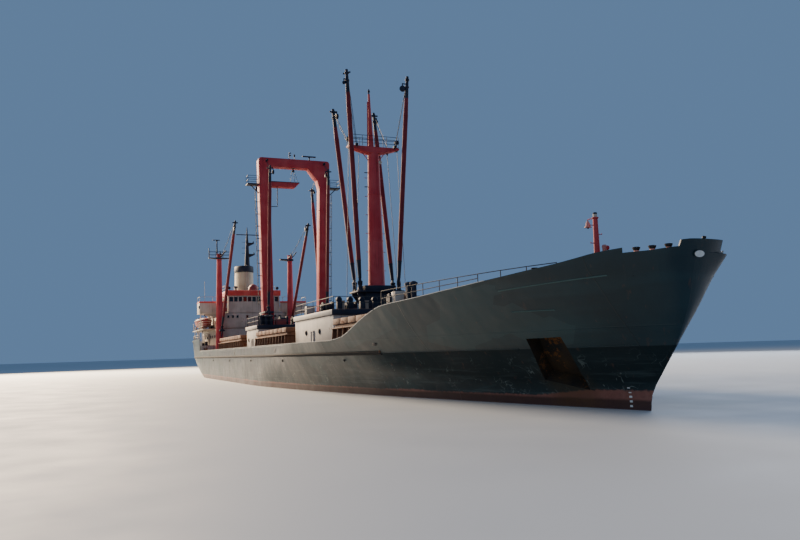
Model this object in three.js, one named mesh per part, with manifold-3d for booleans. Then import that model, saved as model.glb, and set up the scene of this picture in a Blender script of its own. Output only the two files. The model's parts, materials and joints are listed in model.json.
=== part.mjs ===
// General cargo ship with derricks, as a 1:10 model.
// Frame: +X to the bow, +Y to port, +Z up; origin amidships on the centreline at the waterline.
// Every size below is in metres of the real ship; addPiece turns it into millimetres of the model.

import * as THREE from 'three';
import { mergeVertices } from 'three/addons/utils/BufferGeometryUtils.js';
import Module from 'manifold-3d';

const wasm = await Module();
wasm.setup();

const MODEL_SCALE = 10;
const MM_PER_METRE = 1000 / MODEL_SCALE;

// Driving dimensions
const GAP = 0.003;
const BEAM = 15.4;
const DRAUGHT = 5.8;
const MAIN_DECK = 2.7;
const BULWARK_TOP = 3.6;
const POOP_DECK = 4.3;
const POOP_RAIL = 5.3;
const BOAT_DECK = 6.72;
const BRIDGE_DECK = 8.94;
const HOUSE_FRONT = -34.0;
const FORECASTLE_BREAK = 34.4;
const FORECASTLE_DECK = { aft: 4.9, fore: 5.5 };
const MAST_HOUSE_TOP = 6.04;
const BREAK_TOP = 5.32;
const BULWARK_PLATE = 0.08;

const MAIN_MAST_X = 16.8;
const PORTAL_X = -10;
const POST = { x: -33.0, y: 5.1 };

const PAINT = {
  hullTeal: ['#2c4a4c', 0.5, 0.0],
  hatchBrown: ['#6a4630', 0.8, 0.0],
  mastRed: ['#a8353a', 0.5, 0.0],
  fittingNavy: ['#1c2230', 0.5, 0.1],
  houseWhite: ['#d9d5cd', 0.55, 0.0],
  houseGrey: ['#a7a59c', 0.6, 0.0],
  fasciaRed: ['#b8372b', 0.5, 0.0],
  boatOrange: ['#b6452f', 0.5, 0.0],
  bronze: ['#a98648', 0.35, 0.9],
  underwaterRed: ['#6a2a22', 0.7, 0.0],
};

const ship = new THREE.Group();
const materials = new Map();

function paint(key) {
  if (!materials.has(key)) {
    const [color, roughness, metalness] = PAINT[key];
    materials.set(key, new THREE.MeshStandardMaterial({ color, roughness, metalness }));
  }
  return materials.get(key);
}

// Solids

function solidOf(geometry) {
  let bare = new THREE.BufferGeometry();
  bare.setAttribute('position', geometry.getAttribute('position').clone());
  if (geometry.getIndex()) bare.setIndex(geometry.getIndex().clone());
  bare = mergeVertices(bare, 1e-5);
  const index = bare.getIndex().array;
  const triangles = [];
  for (let i = 0; i < index.length; i += 3) {
    const [a, b, c] = [index[i], index[i + 1], index[i + 2]];
    if (a !== b && b !== c && a !== c) triangles.push(a, b, c);
  }
  return new wasm.Manifold(new wasm.Mesh({
    numProp: 3,
    vertProperties: new Float32Array(bare.getAttribute('position').array),
    triVerts: new Uint32Array(triangles),
  }));
}

function addPiece(name, solid, paintKey) {
  const { vertProperties, triVerts, numProp } = solid.getMesh();
  const points = new Float32Array((vertProperties.length / numProp) * 3);
  for (let i = 0; i < points.length / 3; i += 1) {
    for (let k = 0; k < 3; k += 1) points[3 * i + k] = vertProperties[numProp * i + k] * MM_PER_METRE;
  }
  const geometry = new THREE.BufferGeometry();
  geometry.setAttribute('position', new THREE.BufferAttribute(points, 3));
  geometry.setIndex(new THREE.BufferAttribute(new Uint32Array(triVerts), 1));
  geometry.computeVertexNormals();
  const mesh = new THREE.Mesh(geometry, paint(paintKey));
  mesh.name = name;
  ship.add(mesh);
}

const join = (...solids) => solids.reduce((all, next) => all.add(next));

function block([x0, x1], [y0, y1], [z0, z1]) {
  const geometry = new THREE.BoxGeometry(x1 - x0, y1 - y0, z1 - z0);
  geometry.translate((x0 + x1) / 2, (y0 + y1) / 2, (z0 + z1) / 2);
  return solidOf(geometry);
}

// A round bar from one point to another, with its own radius at each end.
function bar(from, to, startRadius, endRadius = startRadius, sides = 10) {
  const start = new THREE.Vector3(...from);
  const end = new THREE.Vector3(...to);
  const geometry = new THREE.CylinderGeometry(endRadius, startRadius, start.distanceTo(end), sides);
  const along = end.clone().sub(start).normalize();
  const turn = new THREE.Quaternion().setFromUnitVectors(new THREE.Vector3(0, 1, 0), along);
  geometry.applyQuaternion(turn);
  geometry.translate(...start.add(end).multiplyScalar(0.5).toArray());
  return solidOf(geometry);
}

// An outline in one plane, given its thickness along the third axis.
function plate(plane, outline, low, high) {
  const shape = new THREE.Shape(outline.map(([u, v]) => new THREE.Vector2(u, v)));
  const geometry = new THREE.ExtrudeGeometry(shape, { depth: high - low, bevelEnabled: false });
  const x = new THREE.Vector3(1, 0, 0);
  const y = new THREE.Vector3(0, 1, 0);
  const z = new THREE.Vector3(0, 0, 1);
  const axes = { XY: [x, y, z, low], YZ: [y, z, x, low], XZ: [x, z, y.clone().negate(), -high] }[plane];
  geometry.translate(0, 0, axes[3]);
  geometry.applyMatrix4(new THREE.Matrix4().makeBasis(axes[0], axes[1], axes[2]));
  return solidOf(geometry);
}

const bySide = [
  { side: 'starboard', s: -1 },
  { side: 'port', s: 1 },
];

const ordered = (a, b) => (a < b ? [a, b] : [b, a]);

// Hull form: one row for each waterline. half is the half breadth amidships; the run tapers to the
// stern over run metres and the entry to the stem over entry metres, fuller with a larger exponent.
const WATERLINES = [
  { z: -DRAUGHT, half: 6.2, stern: -45.2, run: 42, runFull: 0.85, stem: 47.4, entry: 50, entryFull: 0.85 },
  { z: -5.5, half: 7.05, stern: -45.4, run: 41, runFull: 0.88, stem: 47.8, entry: 49.5, entryFull: 0.87 },
  { z: -5.0, half: 7.5, stern: -45.7, run: 40, runFull: 0.9, stem: 48.1, entry: 49, entryFull: 0.9 },
  { z: -4.3, half: BEAM / 2, stern: -46.0, run: 38, runFull: 0.92, stem: 48.4, entry: 48.5, entryFull: 0.92 },
  { z: -3.0, half: BEAM / 2, stern: -46.3, run: 36, runFull: 0.95, stem: 48.7, entry: 48, entryFull: 0.95 },
  { z: -1.9, half: BEAM / 2, stern: -46.6, run: 33, runFull: 1.0, stem: 48.8, entry: 47.5, entryFull: 0.97 },
  { z: -1.3, half: BEAM / 2, stern: -47.6, run: 30, runFull: 1.1, stem: 48.9, entry: 47, entryFull: 0.98 },
  { z: -0.8, half: BEAM / 2, stern: -49.6, run: 28, runFull: 1.3, stem: 48.9, entry: 46.5, entryFull: 0.99 },
  { z: -0.4, half: BEAM / 2, stern: -50.7, run: 26, runFull: 1.5, stem: 49.0, entry: 46.2, entryFull: 1.0 },
  { z: 0.0, half: BEAM / 2, stern: -51.5, run: 24, runFull: 1.7, stem: 49.0, entry: 46, entryFull: 1.0 },
  { z: 0.66, half: BEAM / 2, stern: -52.2, run: 21, runFull: 1.9, stem: 49.13, entry: 45, entryFull: 1.05 },
  { z: 1.56, half: BEAM / 2, stern: -52.8, run: 18, runFull: 2.3, stem: 49.8, entry: 42.5, entryFull: 1.25 },
  { z: MAIN_DECK, half: BEAM / 2, stern: -53.3, run: 15, runFull: 2.7, stem: 50.67, entry: 38.37, entryFull: 1.45 },
  { z: 4.16, half: BEAM / 2, stern: -53.5, run: 13.5, runFull: 2.9, stem: 51.47, entry: 31.9, entryFull: 1.8 },
  { z: 5.2, half: BEAM / 2, stern: -53.6, run: 13, runFull: 3.0, stem: 51.79, entry: 27.87, entryFull: 2.08 },
  { z: 6.08, half: BEAM / 2, stern: -53.6, run: 13, runFull: 3.0, stem: 52.07, entry: 24.94, entryFull: 2.32 },
  { z: 6.9, half: BEAM / 2, stern: -53.6, run: 13, runFull: 3.0, stem: 52.33, entry: 24.9, entryFull: 2.4 },
];
const TAPER = 1.55;
const RUN_COLUMNS = 9;
const ENTRY_COLUMNS = 12;
const CROWDING = 1.8;

function waterlineAt(z) {
  const above = WATERLINES.findIndex((row) => row.z >= z - 1e-9);
  const high = WATERLINES[above];
  const low = WATERLINES[Math.max(above - 1, 0)];
  const t = high.z === low.z ? 0 : (z - low.z) / (high.z - low.z);
  return Object.fromEntries(Object.keys(low).map((key) => [key, low[key] + (high[key] - low[key]) * t]));
}

// Points of one waterline from stern to stem: [x, half breadth].
function waterlinePoints(z, grow) {
  const row = waterlineAt(z);
  const half = row.half + grow;
  const taper = (share, full) => half * (1 - (1 - share) ** TAPER) ** (1 / full);
  const points = [];
  for (let i = 0; i <= RUN_COLUMNS; i += 1) {
    const share = (i / RUN_COLUMNS) ** CROWDING;
    points.push([row.stern - grow + share * row.run, taper(share, row.runFull)]);
  }
  for (let i = ENTRY_COLUMNS; i >= 0; i -= 1) {
    const share = (i / ENTRY_COLUMNS) ** CROWDING;
    points.push([row.stem + grow - share * row.entry, taper(share, row.entryFull)]);
  }
  return points;
}

// The closed hull form between two heights, grown outwards (or shrunk) by a wall's thickness.
function hullForm(low, high, grow = 0) {
  const heights = [low, ...WATERLINES.map((row) => row.z).filter((z) => z > low + 0.05 && z < high - 0.05), high];
  const rings = heights.map((z) => waterlinePoints(z, grow).map(([x, y]) => [x, y, z]));
  const positions = [];
  const put = (a, b, c) => positions.push(...a, ...b, ...c);
  const quad = (a, b, c, d) => {
    put(a, b, c);
    put(a, c, d);
  };
  const mirror = ([x, y, z]) => [x, -y, z];
  for (let k = 0; k + 1 < rings.length; k += 1) {
    for (let i = 0; i + 1 < rings[k].length; i += 1) {
      const [a, b, c, d] = [rings[k][i], rings[k][i + 1], rings[k + 1][i + 1], rings[k + 1][i]];
      quad(a, d, c, b);
      quad(...[a, b, c, d].map(mirror));
    }
  }
  for (const [ring, up] of [[rings[0], false], [rings[rings.length - 1], true]]) {
    for (let i = 0; i + 1 < ring.length; i += 1) {
      const corners = [mirror(ring[i]), mirror(ring[i + 1]), ring[i + 1], ring[i]];
      quad(...(up ? corners : corners.reverse()));
    }
  }
  const geometry = new THREE.BufferGeometry();
  geometry.setAttribute('position', new THREE.Float32BufferAttribute(positions, 3));
  return solidOf(geometry);
}

const halfOf = (s) => block([-60, 60], ordered(s * GAP / 2, s * 12), [-10, 20]);

const ANCHOR_POCKET = {
  corners: [[44.65, 3.17], [44.02, 1.23], [46.18, 0.8], [46.52, 3.19]],
  depth: 0.75,
  reach: 0.5,
};
const STRAKE = { proud: 0.1, low: 2.58, high: 2.82, aft: -50, fore: 34.2 };
const BULB = { x: 47.6, z: -3.7, length: 3.6, half: 1.25, height: 1.55 };
const SHAFT = { z: -3.4, bossRadius: 0.45, bossEnd: -46.75 };

function makeHull() {
  const bulb = new THREE.SphereGeometry(1, 16, 12);
  bulb.scale(BULB.length, BULB.half, BULB.height);
  bulb.translate(BULB.x, 0, BULB.z);
  const strake = hullForm(STRAKE.low, MAIN_DECK, STRAKE.proud)
    .intersect(block([STRAKE.aft, STRAKE.fore], [-9, 9], [0, 4]));
  let hull = join(
    hullForm(-DRAUGHT, MAIN_DECK),
    solidOf(bulb),
    bar([-43, 0, SHAFT.z], [SHAFT.bossEnd, 0, SHAFT.z], SHAFT.bossRadius + 0.15, SHAFT.bossRadius, 14),
    strake,
  );
  for (const { s } of bySide) hull = hull.subtract(anchorPocket(s));
  const trunk = bar([RUDDER.stock, 0, RUDDER.high], [RUDDER.stock, 0, RUDDER.stockTop + GAP], RUDDER.trunk, RUDDER.trunk, 24);
  addPiece('hull', hull.subtract(trunk), 'hullTeal');
}

function halfBreadthNearBow(x, z) {
  const row = waterlineAt(z);
  const share = (row.stem - x) / row.entry;
  return row.half * (1 - (1 - share) ** TAPER) ** (1 / row.entryFull);
}

// The anchor's recess, sunk square into the flared side: a box whose corners lie over the plating.
function anchorPocket(s) {
  const { corners, depth, reach } = ANCHOR_POCKET;
  const onSide = corners.map(([x, z]) => new THREE.Vector3(x, s * halfBreadthNearBow(x, z), z));
  const along = onSide[3].clone().sub(onSide[0]);
  const down = onSide[1].clone().sub(onSide[0]);
  const out = new THREE.Vector3().crossVectors(along, down).multiplyScalar(-1).normalize();
  if (out.y * s < 0) out.negate();
  const form = new THREE.BoxGeometry(1, 1, 1);
  const place = form.getAttribute('position');
  for (let i = 0; i < place.count; i += 1) {
    const fore = place.getX(i) * s > 0;
    const low = place.getZ(i) < 0;
    const corner = onSide[low ? (fore ? 2 : 1) : (fore ? 3 : 0)].clone();
    corner.addScaledVector(out, place.getY(i) > 0 ? reach : -depth);
    place.setXYZ(i, ...corner.toArray());
  }
  return solidOf(form);
}

// Forecastle, bulwarks and poop stand on the hull's main deck.
const SHEER = [
  [26.6, BULWARK_TOP], [28.6, 3.79], [30.1, 4.12], [31.1, 4.39], [33.2, 4.91], [35.5, 5.32], [37.5, 5.42],
  [39.5, 5.51], [41.2, 5.61], [42.9, 5.71], [44.2, 5.8], [45.5, 5.89], [46.8, 6.0], [48.3, 6.14], [49.4, 6.3],
];
const BOW_STEPS = [
  [50.0, 6.41], [50.95, 6.52], [50.96, 6.32], [51.6, 6.35], [52.12, 6.47], [52.13, 6.7], [53.2, 6.76],
];
const forecastleDeckAt = (x) => {
  const t = (x - FORECASTLE_BREAK) / (53.4 - FORECASTLE_BREAK);
  return FORECASTLE_DECK.aft + t * (FORECASTLE_DECK.fore - FORECASTLE_DECK.aft);
};

function makeForecastle() {
  const sideView = [
    [FORECASTLE_BREAK, 0], [54.4, 0], [54.4, forecastleDeckAt(54.4)], [FORECASTLE_BREAK, FORECASTLE_DECK.aft],
  ];
  const form = hullForm(MAIN_DECK + GAP, 6.6).intersect(plate('XZ', sideView, -9, 9));
  const pockets = bySide.map(({ s }) => anchorPocket(s));
  addPiece('forecastle', form.subtract(pockets[0]).subtract(pockets[1]), 'hullTeal');
}

function makeBulwarks() {
  const shell = hullForm(MAIN_DECK + GAP, 6.85).subtract(hullForm(MAIN_DECK, 6.88, -BULWARK_PLATE));
  const joint = 35.5;
  const main = [
    [HOUSE_FRONT + 0.1, MAIN_DECK], [FORECASTLE_BREAK - GAP, MAIN_DECK],
    [FORECASTLE_BREAK - GAP, forecastleDeckAt(joint) + GAP], [joint, forecastleDeckAt(joint) + GAP],
    [joint, BREAK_TOP], ...SHEER.slice(0, 5).reverse(), [HOUSE_FRONT + 0.1, BULWARK_TOP],
  ];
  const bow = [
    [joint + GAP, forecastleDeckAt(joint) + 2 * GAP], [54.4, forecastleDeckAt(54.4) + GAP],
    ...[...SHEER.slice(6), ...BOW_STEPS].reverse(), [joint + GAP, BREAK_TOP],
  ];
  for (const { side, s } of bySide) {
    const half = shell.intersect(halfOf(s));
    addPiece(`bulwark_${side}`, half.intersect(plate('XZ', main, -9, 9)), 'hullTeal');
    addPiece(`bow_bulwark_${side}`, half.intersect(plate('XZ', bow, -9, 9)), 'hullTeal');
  }
}

function makePoop() {
  const aft = block([-60, HOUSE_FRONT + 0.1 - GAP], [-9, 9], [0, 9]);
  const deck = hullForm(MAIN_DECK + GAP, POOP_DECK).intersect(aft);
  const rail = hullForm(POOP_DECK - 0.02, POOP_RAIL).subtract(hullForm(POOP_DECK - 0.1, POOP_RAIL + 0.2, -BULWARK_PLATE))
    .intersect(aft);
  addPiece('poop', deck.add(rail), 'hullTeal');
}

// Cargo deck: three hatches, two mast houses.
const HATCH = { half: 5.4, coamingTop: 4.75, coverTop: 5.25, lip: 0.12 };
const HATCHES = [
  { name: 'hatch_1', aft: 22.4, fore: 32.4 },
  { name: 'hatch_2', aft: -5.4, fore: 8.0 },
  { name: 'hatch_3', aft: -30.2, fore: -14.6 },
];
const HOUSES = [
  { name: 'main_mast_house', aft: 9.4, fore: 20.8, half: 5.0 },
  { name: 'portal_mast_house', aft: -13.2, fore: -6.8, half: 5.0 },
];

function makeCargoDeck() {
  for (const { name, aft, fore } of HATCHES) {
    const bounds = [aft, fore];
    addPiece(`${name}_coaming`, block(bounds, [-HATCH.half, HATCH.half], [MAIN_DECK + GAP, HATCH.coamingTop]), 'hatchBrown');
    const lid = [aft - HATCH.lip, fore + HATCH.lip];
    const across = [-HATCH.half - HATCH.lip, HATCH.half + HATCH.lip];
    addPiece(`${name}_cover`, block(lid, across, [HATCH.coamingTop + GAP, HATCH.coverTop]), 'hatchBrown');
  }
  for (const { name, aft, fore, half } of HOUSES) {
    const walls = block([aft, fore], [-half, half], [MAIN_DECK + GAP, MAST_HOUSE_TOP - 0.1]);
    const top = block([aft - 0.15, fore + 0.15], [-half - 0.15, half + 0.15], [MAST_HOUSE_TOP - 0.12, MAST_HOUSE_TOP]);
    addPiece(name, join(walls, top), 'houseGrey');
  }
}

// Main mast: a table at the foot that carries four derricks, a column, a crosstree and a topmast.
const MAIN_TABLE = { half: 2.0, fore: 1.15, aft: 1.1, low: 7.55, high: 7.7, boxHalf: 1.35, boxHigh: 8.12 };
const CROSSTREE = { half: 2.25, root: 0.9, low: 19.2, high: 19.8, depth: 0.45 };
const SPAN_LUG = { y: 1.685, fore: 17.58, aft: 16.07, half: 0.12, low: 19.66, high: 19.86 };
const TOPMAST_TOP = 25.1;

function makeMainMast() {
  const x = MAIN_MAST_X;
  const pedestal = block([x - 0.9, x + 0.9], [-1.3, 1.3], [MAST_HOUSE_TOP + GAP, MAIN_TABLE.low + 0.02]);
  const table = block([x - MAIN_TABLE.aft, x + MAIN_TABLE.fore], [-MAIN_TABLE.half, MAIN_TABLE.half],
    [MAIN_TABLE.low, MAIN_TABLE.high]);
  const head = block([x - 0.95, x + 0.95], [-MAIN_TABLE.boxHalf, MAIN_TABLE.boxHalf],
    [MAIN_TABLE.high - 0.02, MAIN_TABLE.boxHigh]);
  const column = bar([x, 0, MAIN_TABLE.high - 0.02], [x, 0, CROSSTREE.low + 0.02], 0.69, 0.47, 16);
  const tree = plate('YZ', [
    [-CROSSTREE.root, CROSSTREE.low], [CROSSTREE.root, CROSSTREE.low],
    [CROSSTREE.half, CROSSTREE.high - 0.12], [CROSSTREE.half, CROSSTREE.high],
    [-CROSSTREE.half, CROSSTREE.high], [-CROSSTREE.half, CROSSTREE.high - 0.12],
  ], x - CROSSTREE.depth, x + CROSSTREE.depth);
  const topmast = bar([x, 0, CROSSTREE.high - 0.02], [x, 0, TOPMAST_TOP], 0.28, 0.1, 10);
  const lugs = bySide.map(({ s }) => block([SPAN_LUG.aft, SPAN_LUG.fore],
    ordered(s * (SPAN_LUG.y - SPAN_LUG.half), s * (SPAN_LUG.y + SPAN_LUG.half)), [SPAN_LUG.low, SPAN_LUG.high]));
  addPiece('main_mast', join(pedestal, table, head, column, tree, topmast, ...lugs), 'mastRed');
}

// Portal mast: two legs and a beam, with platforms near the top and derrick tables near the foot.
const PORTAL = {
  halfDepth: 0.6,
  footOuter: 3.8,
  footInner: 2.6,
  topOuter: 4.34,
  topInner: 2.95,
  top: 25.39,
  beamLow: 24.38,
  portHaunch: [[1.63, 24.38], [2.4, 23.35], [2.7, 23.1], [2.95, 22.1]],
  starboardHaunch: [[2.45, 24.38], [2.62, 24.25], [2.8, 23.95], [2.93, 23.3]],
  corner: 0.8,
  platform: 22.3,
  platformReach: 5.5,
  lugReach: 1.35,
  lugLow: 24.8,
};
const PORTAL_TABLE = { low: 7.4, high: 7.6, reach: 1.7, inner: 2.9, outer: 3.9 };

function makePortalMast() {
  const p = PORTAL;
  const right = [
    [p.footInner, MAST_HOUSE_TOP + GAP], [p.footOuter, MAST_HOUSE_TOP + GAP], [p.topOuter, p.top - p.corner],
    [p.topOuter - 0.24, p.top - 0.24], [p.topOuter - p.corner, p.top],
  ];
  const left = (outline) => outline.map(([y, z]) => [-y, z]);
  const arch = [...right, ...left(right).reverse(), ...left(p.starboardHaunch).reverse(), ...p.portHaunch];
  const pieces = [plate('YZ', arch, PORTAL_X - p.halfDepth, PORTAL_X + p.halfDepth)];
  for (const { s } of bySide) {
    const reach = [PORTAL_X - PORTAL_TABLE.reach, PORTAL_X + PORTAL_TABLE.reach];
    pieces.push(block(reach, ordered(s * PORTAL_TABLE.inner, s * PORTAL_TABLE.outer),
      [PORTAL_TABLE.low, PORTAL_TABLE.high]));
    pieces.push(block([PORTAL_X - 0.6, PORTAL_X + 0.6], ordered(s * 4.1, s * p.platformReach),
      [p.platform - 0.1, p.platform]));
    pieces.push(block([PORTAL_X - p.lugReach, PORTAL_X + p.lugReach], ordered(s * 3.28, s * 3.52),
      [p.lugLow, p.lugLow + 0.2]));
  }
  const { platform } = p;
  const inner = [[-3.1, platform - 0.54], [0.15, platform - 0.54], [0.62, platform - 0.04], [-3.1, platform - 0.04]];
  pieces.push(plate('YZ', inner, PORTAL_X - 0.5, PORTAL_X + 0.5));
  addPiece('portal_mast', join(...pieces), 'mastRed');
}

// Samson posts ahead of the bridge, each with a derrick bracket and a crosstree platform.
const SAMSON = { top: 17.2, footRadius: 0.55, headRadius: 0.33, tree: 16.63, bracket: 6.45 };
const POST_PLATFORMS = { starboard: [-1.45, 1.5], port: [-1.45, 0.45] };

function makeSamsonPosts() {
  for (const { side, s } of bySide) {
    const y = s * POST.y;
    const [left, right] = POST_PLATFORMS[side];
    const post = bar([POST.x, y, MAIN_DECK + GAP], [POST.x, y, SAMSON.top], SAMSON.footRadius, SAMSON.headRadius, 12);
    const tree = block([POST.x - 0.45, POST.x + 0.45], [y + left, y + right], [SAMSON.tree - 0.12, SAMSON.tree]);
    const bracket = block([POST.x, POST.x + 1.45], [y - 0.35 - s * 0.2, y + 0.35 - s * 0.2],
      [SAMSON.bracket - 0.2, SAMSON.bracket]);
    const lug = block([POST.x, POST.x + 1.1], ordered(s * 4.78, s * 5.02), [SAMSON.tree + 0.12, SAMSON.tree + 0.32]);
    addPiece(`samson_post_${side}`, join(post, tree, bracket, lug), 'mastRed');
  }
}

// Accommodation: two tiers, bridge wings, hollow wheelhouse with its windows cut, roof and doors.
const LOWER_HOUSE = { aft: -48.2, half: 5.4 };
const BOAT_DECK_PLATE = { aft: -47.2, half: 7.3, tail: 6.2 };
const MIDDLE_HOUSE = { aft: -47.0, half: 4.5 };
const DECK_PLATE = 0.12;
const WING = { aft: -36.5, half: 7.7, top: 10.55, plate: 0.08 };
const WHEELHOUSE = { aft: -40.0, half: 3.73, wall: 0.1, top: 11.6, roofTop: 12.1, lip: 0.15 };
const WINDOW = { width: 0.5, low: 10.52, high: 11.2, count: 11, pitch: 0.655 };
const DOOR = { fore: -35.25, width: 0.8, low: 9.05, height: 1.9, plate: 0.07, clearance: 0.009 };

function makeAccommodation() {
  const lower = block([LOWER_HOUSE.aft, HOUSE_FRONT], [-LOWER_HOUSE.half, LOWER_HOUSE.half],
    [POOP_DECK + GAP, BOAT_DECK - DECK_PLATE + 0.01]);
  const { aft, half, tail } = BOAT_DECK_PLATE;
  const outline = [
    [LOWER_HOUSE.aft - 0.5, -LOWER_HOUSE.half], [aft, -tail], [aft + 2, -half], [HOUSE_FRONT, -half],
    [HOUSE_FRONT, half], [aft + 2, half], [aft, tail], [LOWER_HOUSE.aft - 0.5, LOWER_HOUSE.half],
  ];
  const boatDeck = plate('XY', outline, BOAT_DECK - DECK_PLATE, BOAT_DECK);
  addPiece('deckhouse_lower', join(lower, boatDeck), 'houseWhite');

  const middle = block([MIDDLE_HOUSE.aft, HOUSE_FRONT], [-MIDDLE_HOUSE.half, MIDDLE_HOUSE.half],
    [BOAT_DECK + GAP, BRIDGE_DECK - DECK_PLATE + 0.01]);
  const bridgeDeck = block([MIDDLE_HOUSE.aft - 0.5, HOUSE_FRONT], [-4.8, 4.8], [BRIDGE_DECK - DECK_PLATE, BRIDGE_DECK]);
  const wings = block([WING.aft, HOUSE_FRONT], [-WING.half, WING.half], [BRIDGE_DECK - DECK_PLATE, BRIDGE_DECK]);
  addPiece('deckhouse_middle', join(middle, bridgeDeck, wings), 'houseWhite');

  for (const { side, s } of bySide) {
    const inner = s * (WHEELHOUSE.half + 0.03);
    const high = [BRIDGE_DECK + GAP, WING.top];
    const front = block([HOUSE_FRONT - WING.plate, HOUSE_FRONT], ordered(inner, s * WING.half), high);
    const end = block([WING.aft, HOUSE_FRONT], ordered(s * (WING.half - WING.plate), s * WING.half), high);
    const back = block([WING.aft, WING.aft + WING.plate], ordered(s * 4.8, s * WING.half), high);
    addPiece(`bridge_wing_${side}`, join(front, end, back), 'houseWhite');
  }
  makeWheelhouse();
}

function makeWheelhouse() {
  const w = WHEELHOUSE;
  const height = [BRIDGE_DECK + GAP, w.top];
  let walls = block([w.aft, HOUSE_FRONT], [-w.half, w.half], height)
    .subtract(block([w.aft + w.wall, HOUSE_FRONT - w.wall], [-w.half + w.wall, w.half - w.wall], [8, 13]));
  for (let i = 0; i < WINDOW.count; i += 1) {
    const y = (i - (WINDOW.count - 1) / 2) * WINDOW.pitch;
    walls = walls.subtract(block([HOUSE_FRONT - 0.2, HOUSE_FRONT + 0.2], [y - WINDOW.width / 2, y + WINDOW.width / 2],
      [WINDOW.low, WINDOW.high]));
  }
  for (const x of [-34.65, -37.0, -38.0, -39.0]) {
    walls = walls.subtract(block([x - 0.35, x + 0.35], [-5, 5], [WINDOW.low, WINDOW.high]));
  }
  for (const y of [-2.2, 2.2]) {
    walls = walls.subtract(block([w.aft - 1, w.aft + 1], [y - 0.4, y + 0.4], [WINDOW.low, WINDOW.high]));
  }
  const doorway = [DOOR.fore - DOOR.width, DOOR.fore];
  walls = walls.subtract(block(doorway, [-5, 5], [DOOR.low, DOOR.low + DOOR.height]));
  addPiece('wheelhouse', walls, 'houseWhite');
  const across = [-w.half - w.lip, w.half + w.lip];
  addPiece('wheelhouse_roof', block([w.aft - w.lip, HOUSE_FRONT + w.lip], across, [w.top + GAP, w.roofTop]), 'fasciaRed');
  for (const { side, s } of bySide) {
    const outer = s * w.half;
    const leaf = block([DOOR.fore - DOOR.width + DOOR.clearance, DOOR.fore - DOOR.clearance],
      ordered(outer, outer - s * DOOR.plate),
      [DOOR.low + DOOR.clearance, DOOR.low + DOOR.height - DOOR.clearance]);
    const pane = block([DOOR.fore - DOOR.width + 0.2, DOOR.fore - 0.2], [-5, 5], [10.2, 10.75]);
    addPiece(`wheelhouse_door_${side}`, leaf.subtract(pane), 'houseWhite');
  }
}

// Funnel and the signal mast on it.
const FUNNEL = { x: -42.0, halfLength: 1.9, halfWidth: 1.45, top: 16.5, taper: 0.9 };

function makeFunnel() {
  const low = BRIDGE_DECK + GAP;
  const height = FUNNEL.top - low;
  const form = new THREE.CylinderGeometry(FUNNEL.taper, 1, height, 20);
  form.rotateX(Math.PI / 2);
  form.scale(FUNNEL.halfLength, FUNNEL.halfWidth, 1);
  form.translate(FUNNEL.x, 0, low + height / 2);
  const exhaust = bar([FUNNEL.x - 0.5, 0, FUNNEL.top - 0.1], [FUNNEL.x - 0.5, 0, FUNNEL.top + 0.45], 0.45, 0.45, 12);
  addPiece('funnel', join(solidOf(form), exhaust), 'houseWhite');

  const x = FUNNEL.x + 0.9;
  const mast = bar([x, 0, FUNNEL.top + GAP], [x, 0, 22.1], 0.42, 0.05, 12);
  const yard = block([x - 0.07, x + 0.07], [-1.3, 1.3], [21.0, 21.1]);
  const brackets = [[18.1, 1.15], [19.75, 0.95]].map(([z, reach]) => plate('YZ',
    [[0.1, z - 0.5], [reach, z], [reach, z + 0.1], [0.05, z + 0.1]], x - 0.14, x + 0.14));
  addPiece('signal_mast', join(mast, yard, ...brackets), 'fittingNavy');
}

// Lifeboats on their davit frames.
const BOAT = { x: -41.5, y: 6.2, keel: 6.98, halfLength: 3.6, half: 1.15, depth: 1.0 };
const DAVIT_XS = [-43.6, -39.4];

function makeLifeboats() {
  for (const { side, s } of bySide) {
    const y = s * BOAT.y;
    const body = new THREE.SphereGeometry(1, 18, 12);
    body.scale(BOAT.halfLength, BOAT.half, BOAT.depth);
    body.translate(BOAT.x, y, BOAT.keel + BOAT.depth);
    const cut = block([-50, -30], [-9, 9], [BOAT.keel + BOAT.depth + 0.15, 20]);
    const canopy = new THREE.SphereGeometry(1, 16, 10);
    canopy.scale(BOAT.halfLength * 0.82, BOAT.half * 0.85, 0.55);
    canopy.translate(BOAT.x, y, BOAT.keel + BOAT.depth + 0.1);
    addPiece(`lifeboat_${side}`, join(solidOf(body).subtract(cut), solidOf(canopy)), 'boatOrange');

    const davits = DAVIT_XS.map((x) => {
      const arm = [[4.85, BOAT_DECK + GAP], [5.1, BOAT_DECK + GAP], [5.1, 8.9], [6.5, 9.15], [6.5, 9.35], [4.85, 9.1]];
      return plate('YZ', s > 0 ? arm : arm.map(([u, v]) => [-u, v]).reverse(), x - 0.1, x + 0.1);
    });
    const rest = new THREE.SphereGeometry(1, 18, 12);
    rest.scale(BOAT.halfLength + GAP, BOAT.half + GAP, BOAT.depth + GAP);
    rest.translate(BOAT.x, y, BOAT.keel + BOAT.depth);
    const cradles = DAVIT_XS.map((x) => block([x - 0.1, x + 0.1], ordered(s * 5.0, s * 7.2), [BOAT_DECK + GAP, 7.35])
      .subtract(solidOf(rest)));
    const beam = block([DAVIT_XS[0], DAVIT_XS[1]], ordered(s * 4.85, s * 5.1), [BOAT_DECK + GAP, 6.9]);
    addPiece(`davits_${side}`, join(beam, ...davits, ...cradles), 'houseWhite');
  }
}

// Deck machinery and the short foremast.
const WINDLASS_X = 43.6;
const FOREMAST = { x: 46.0, top: 8.9, radius: 0.16 };

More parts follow.
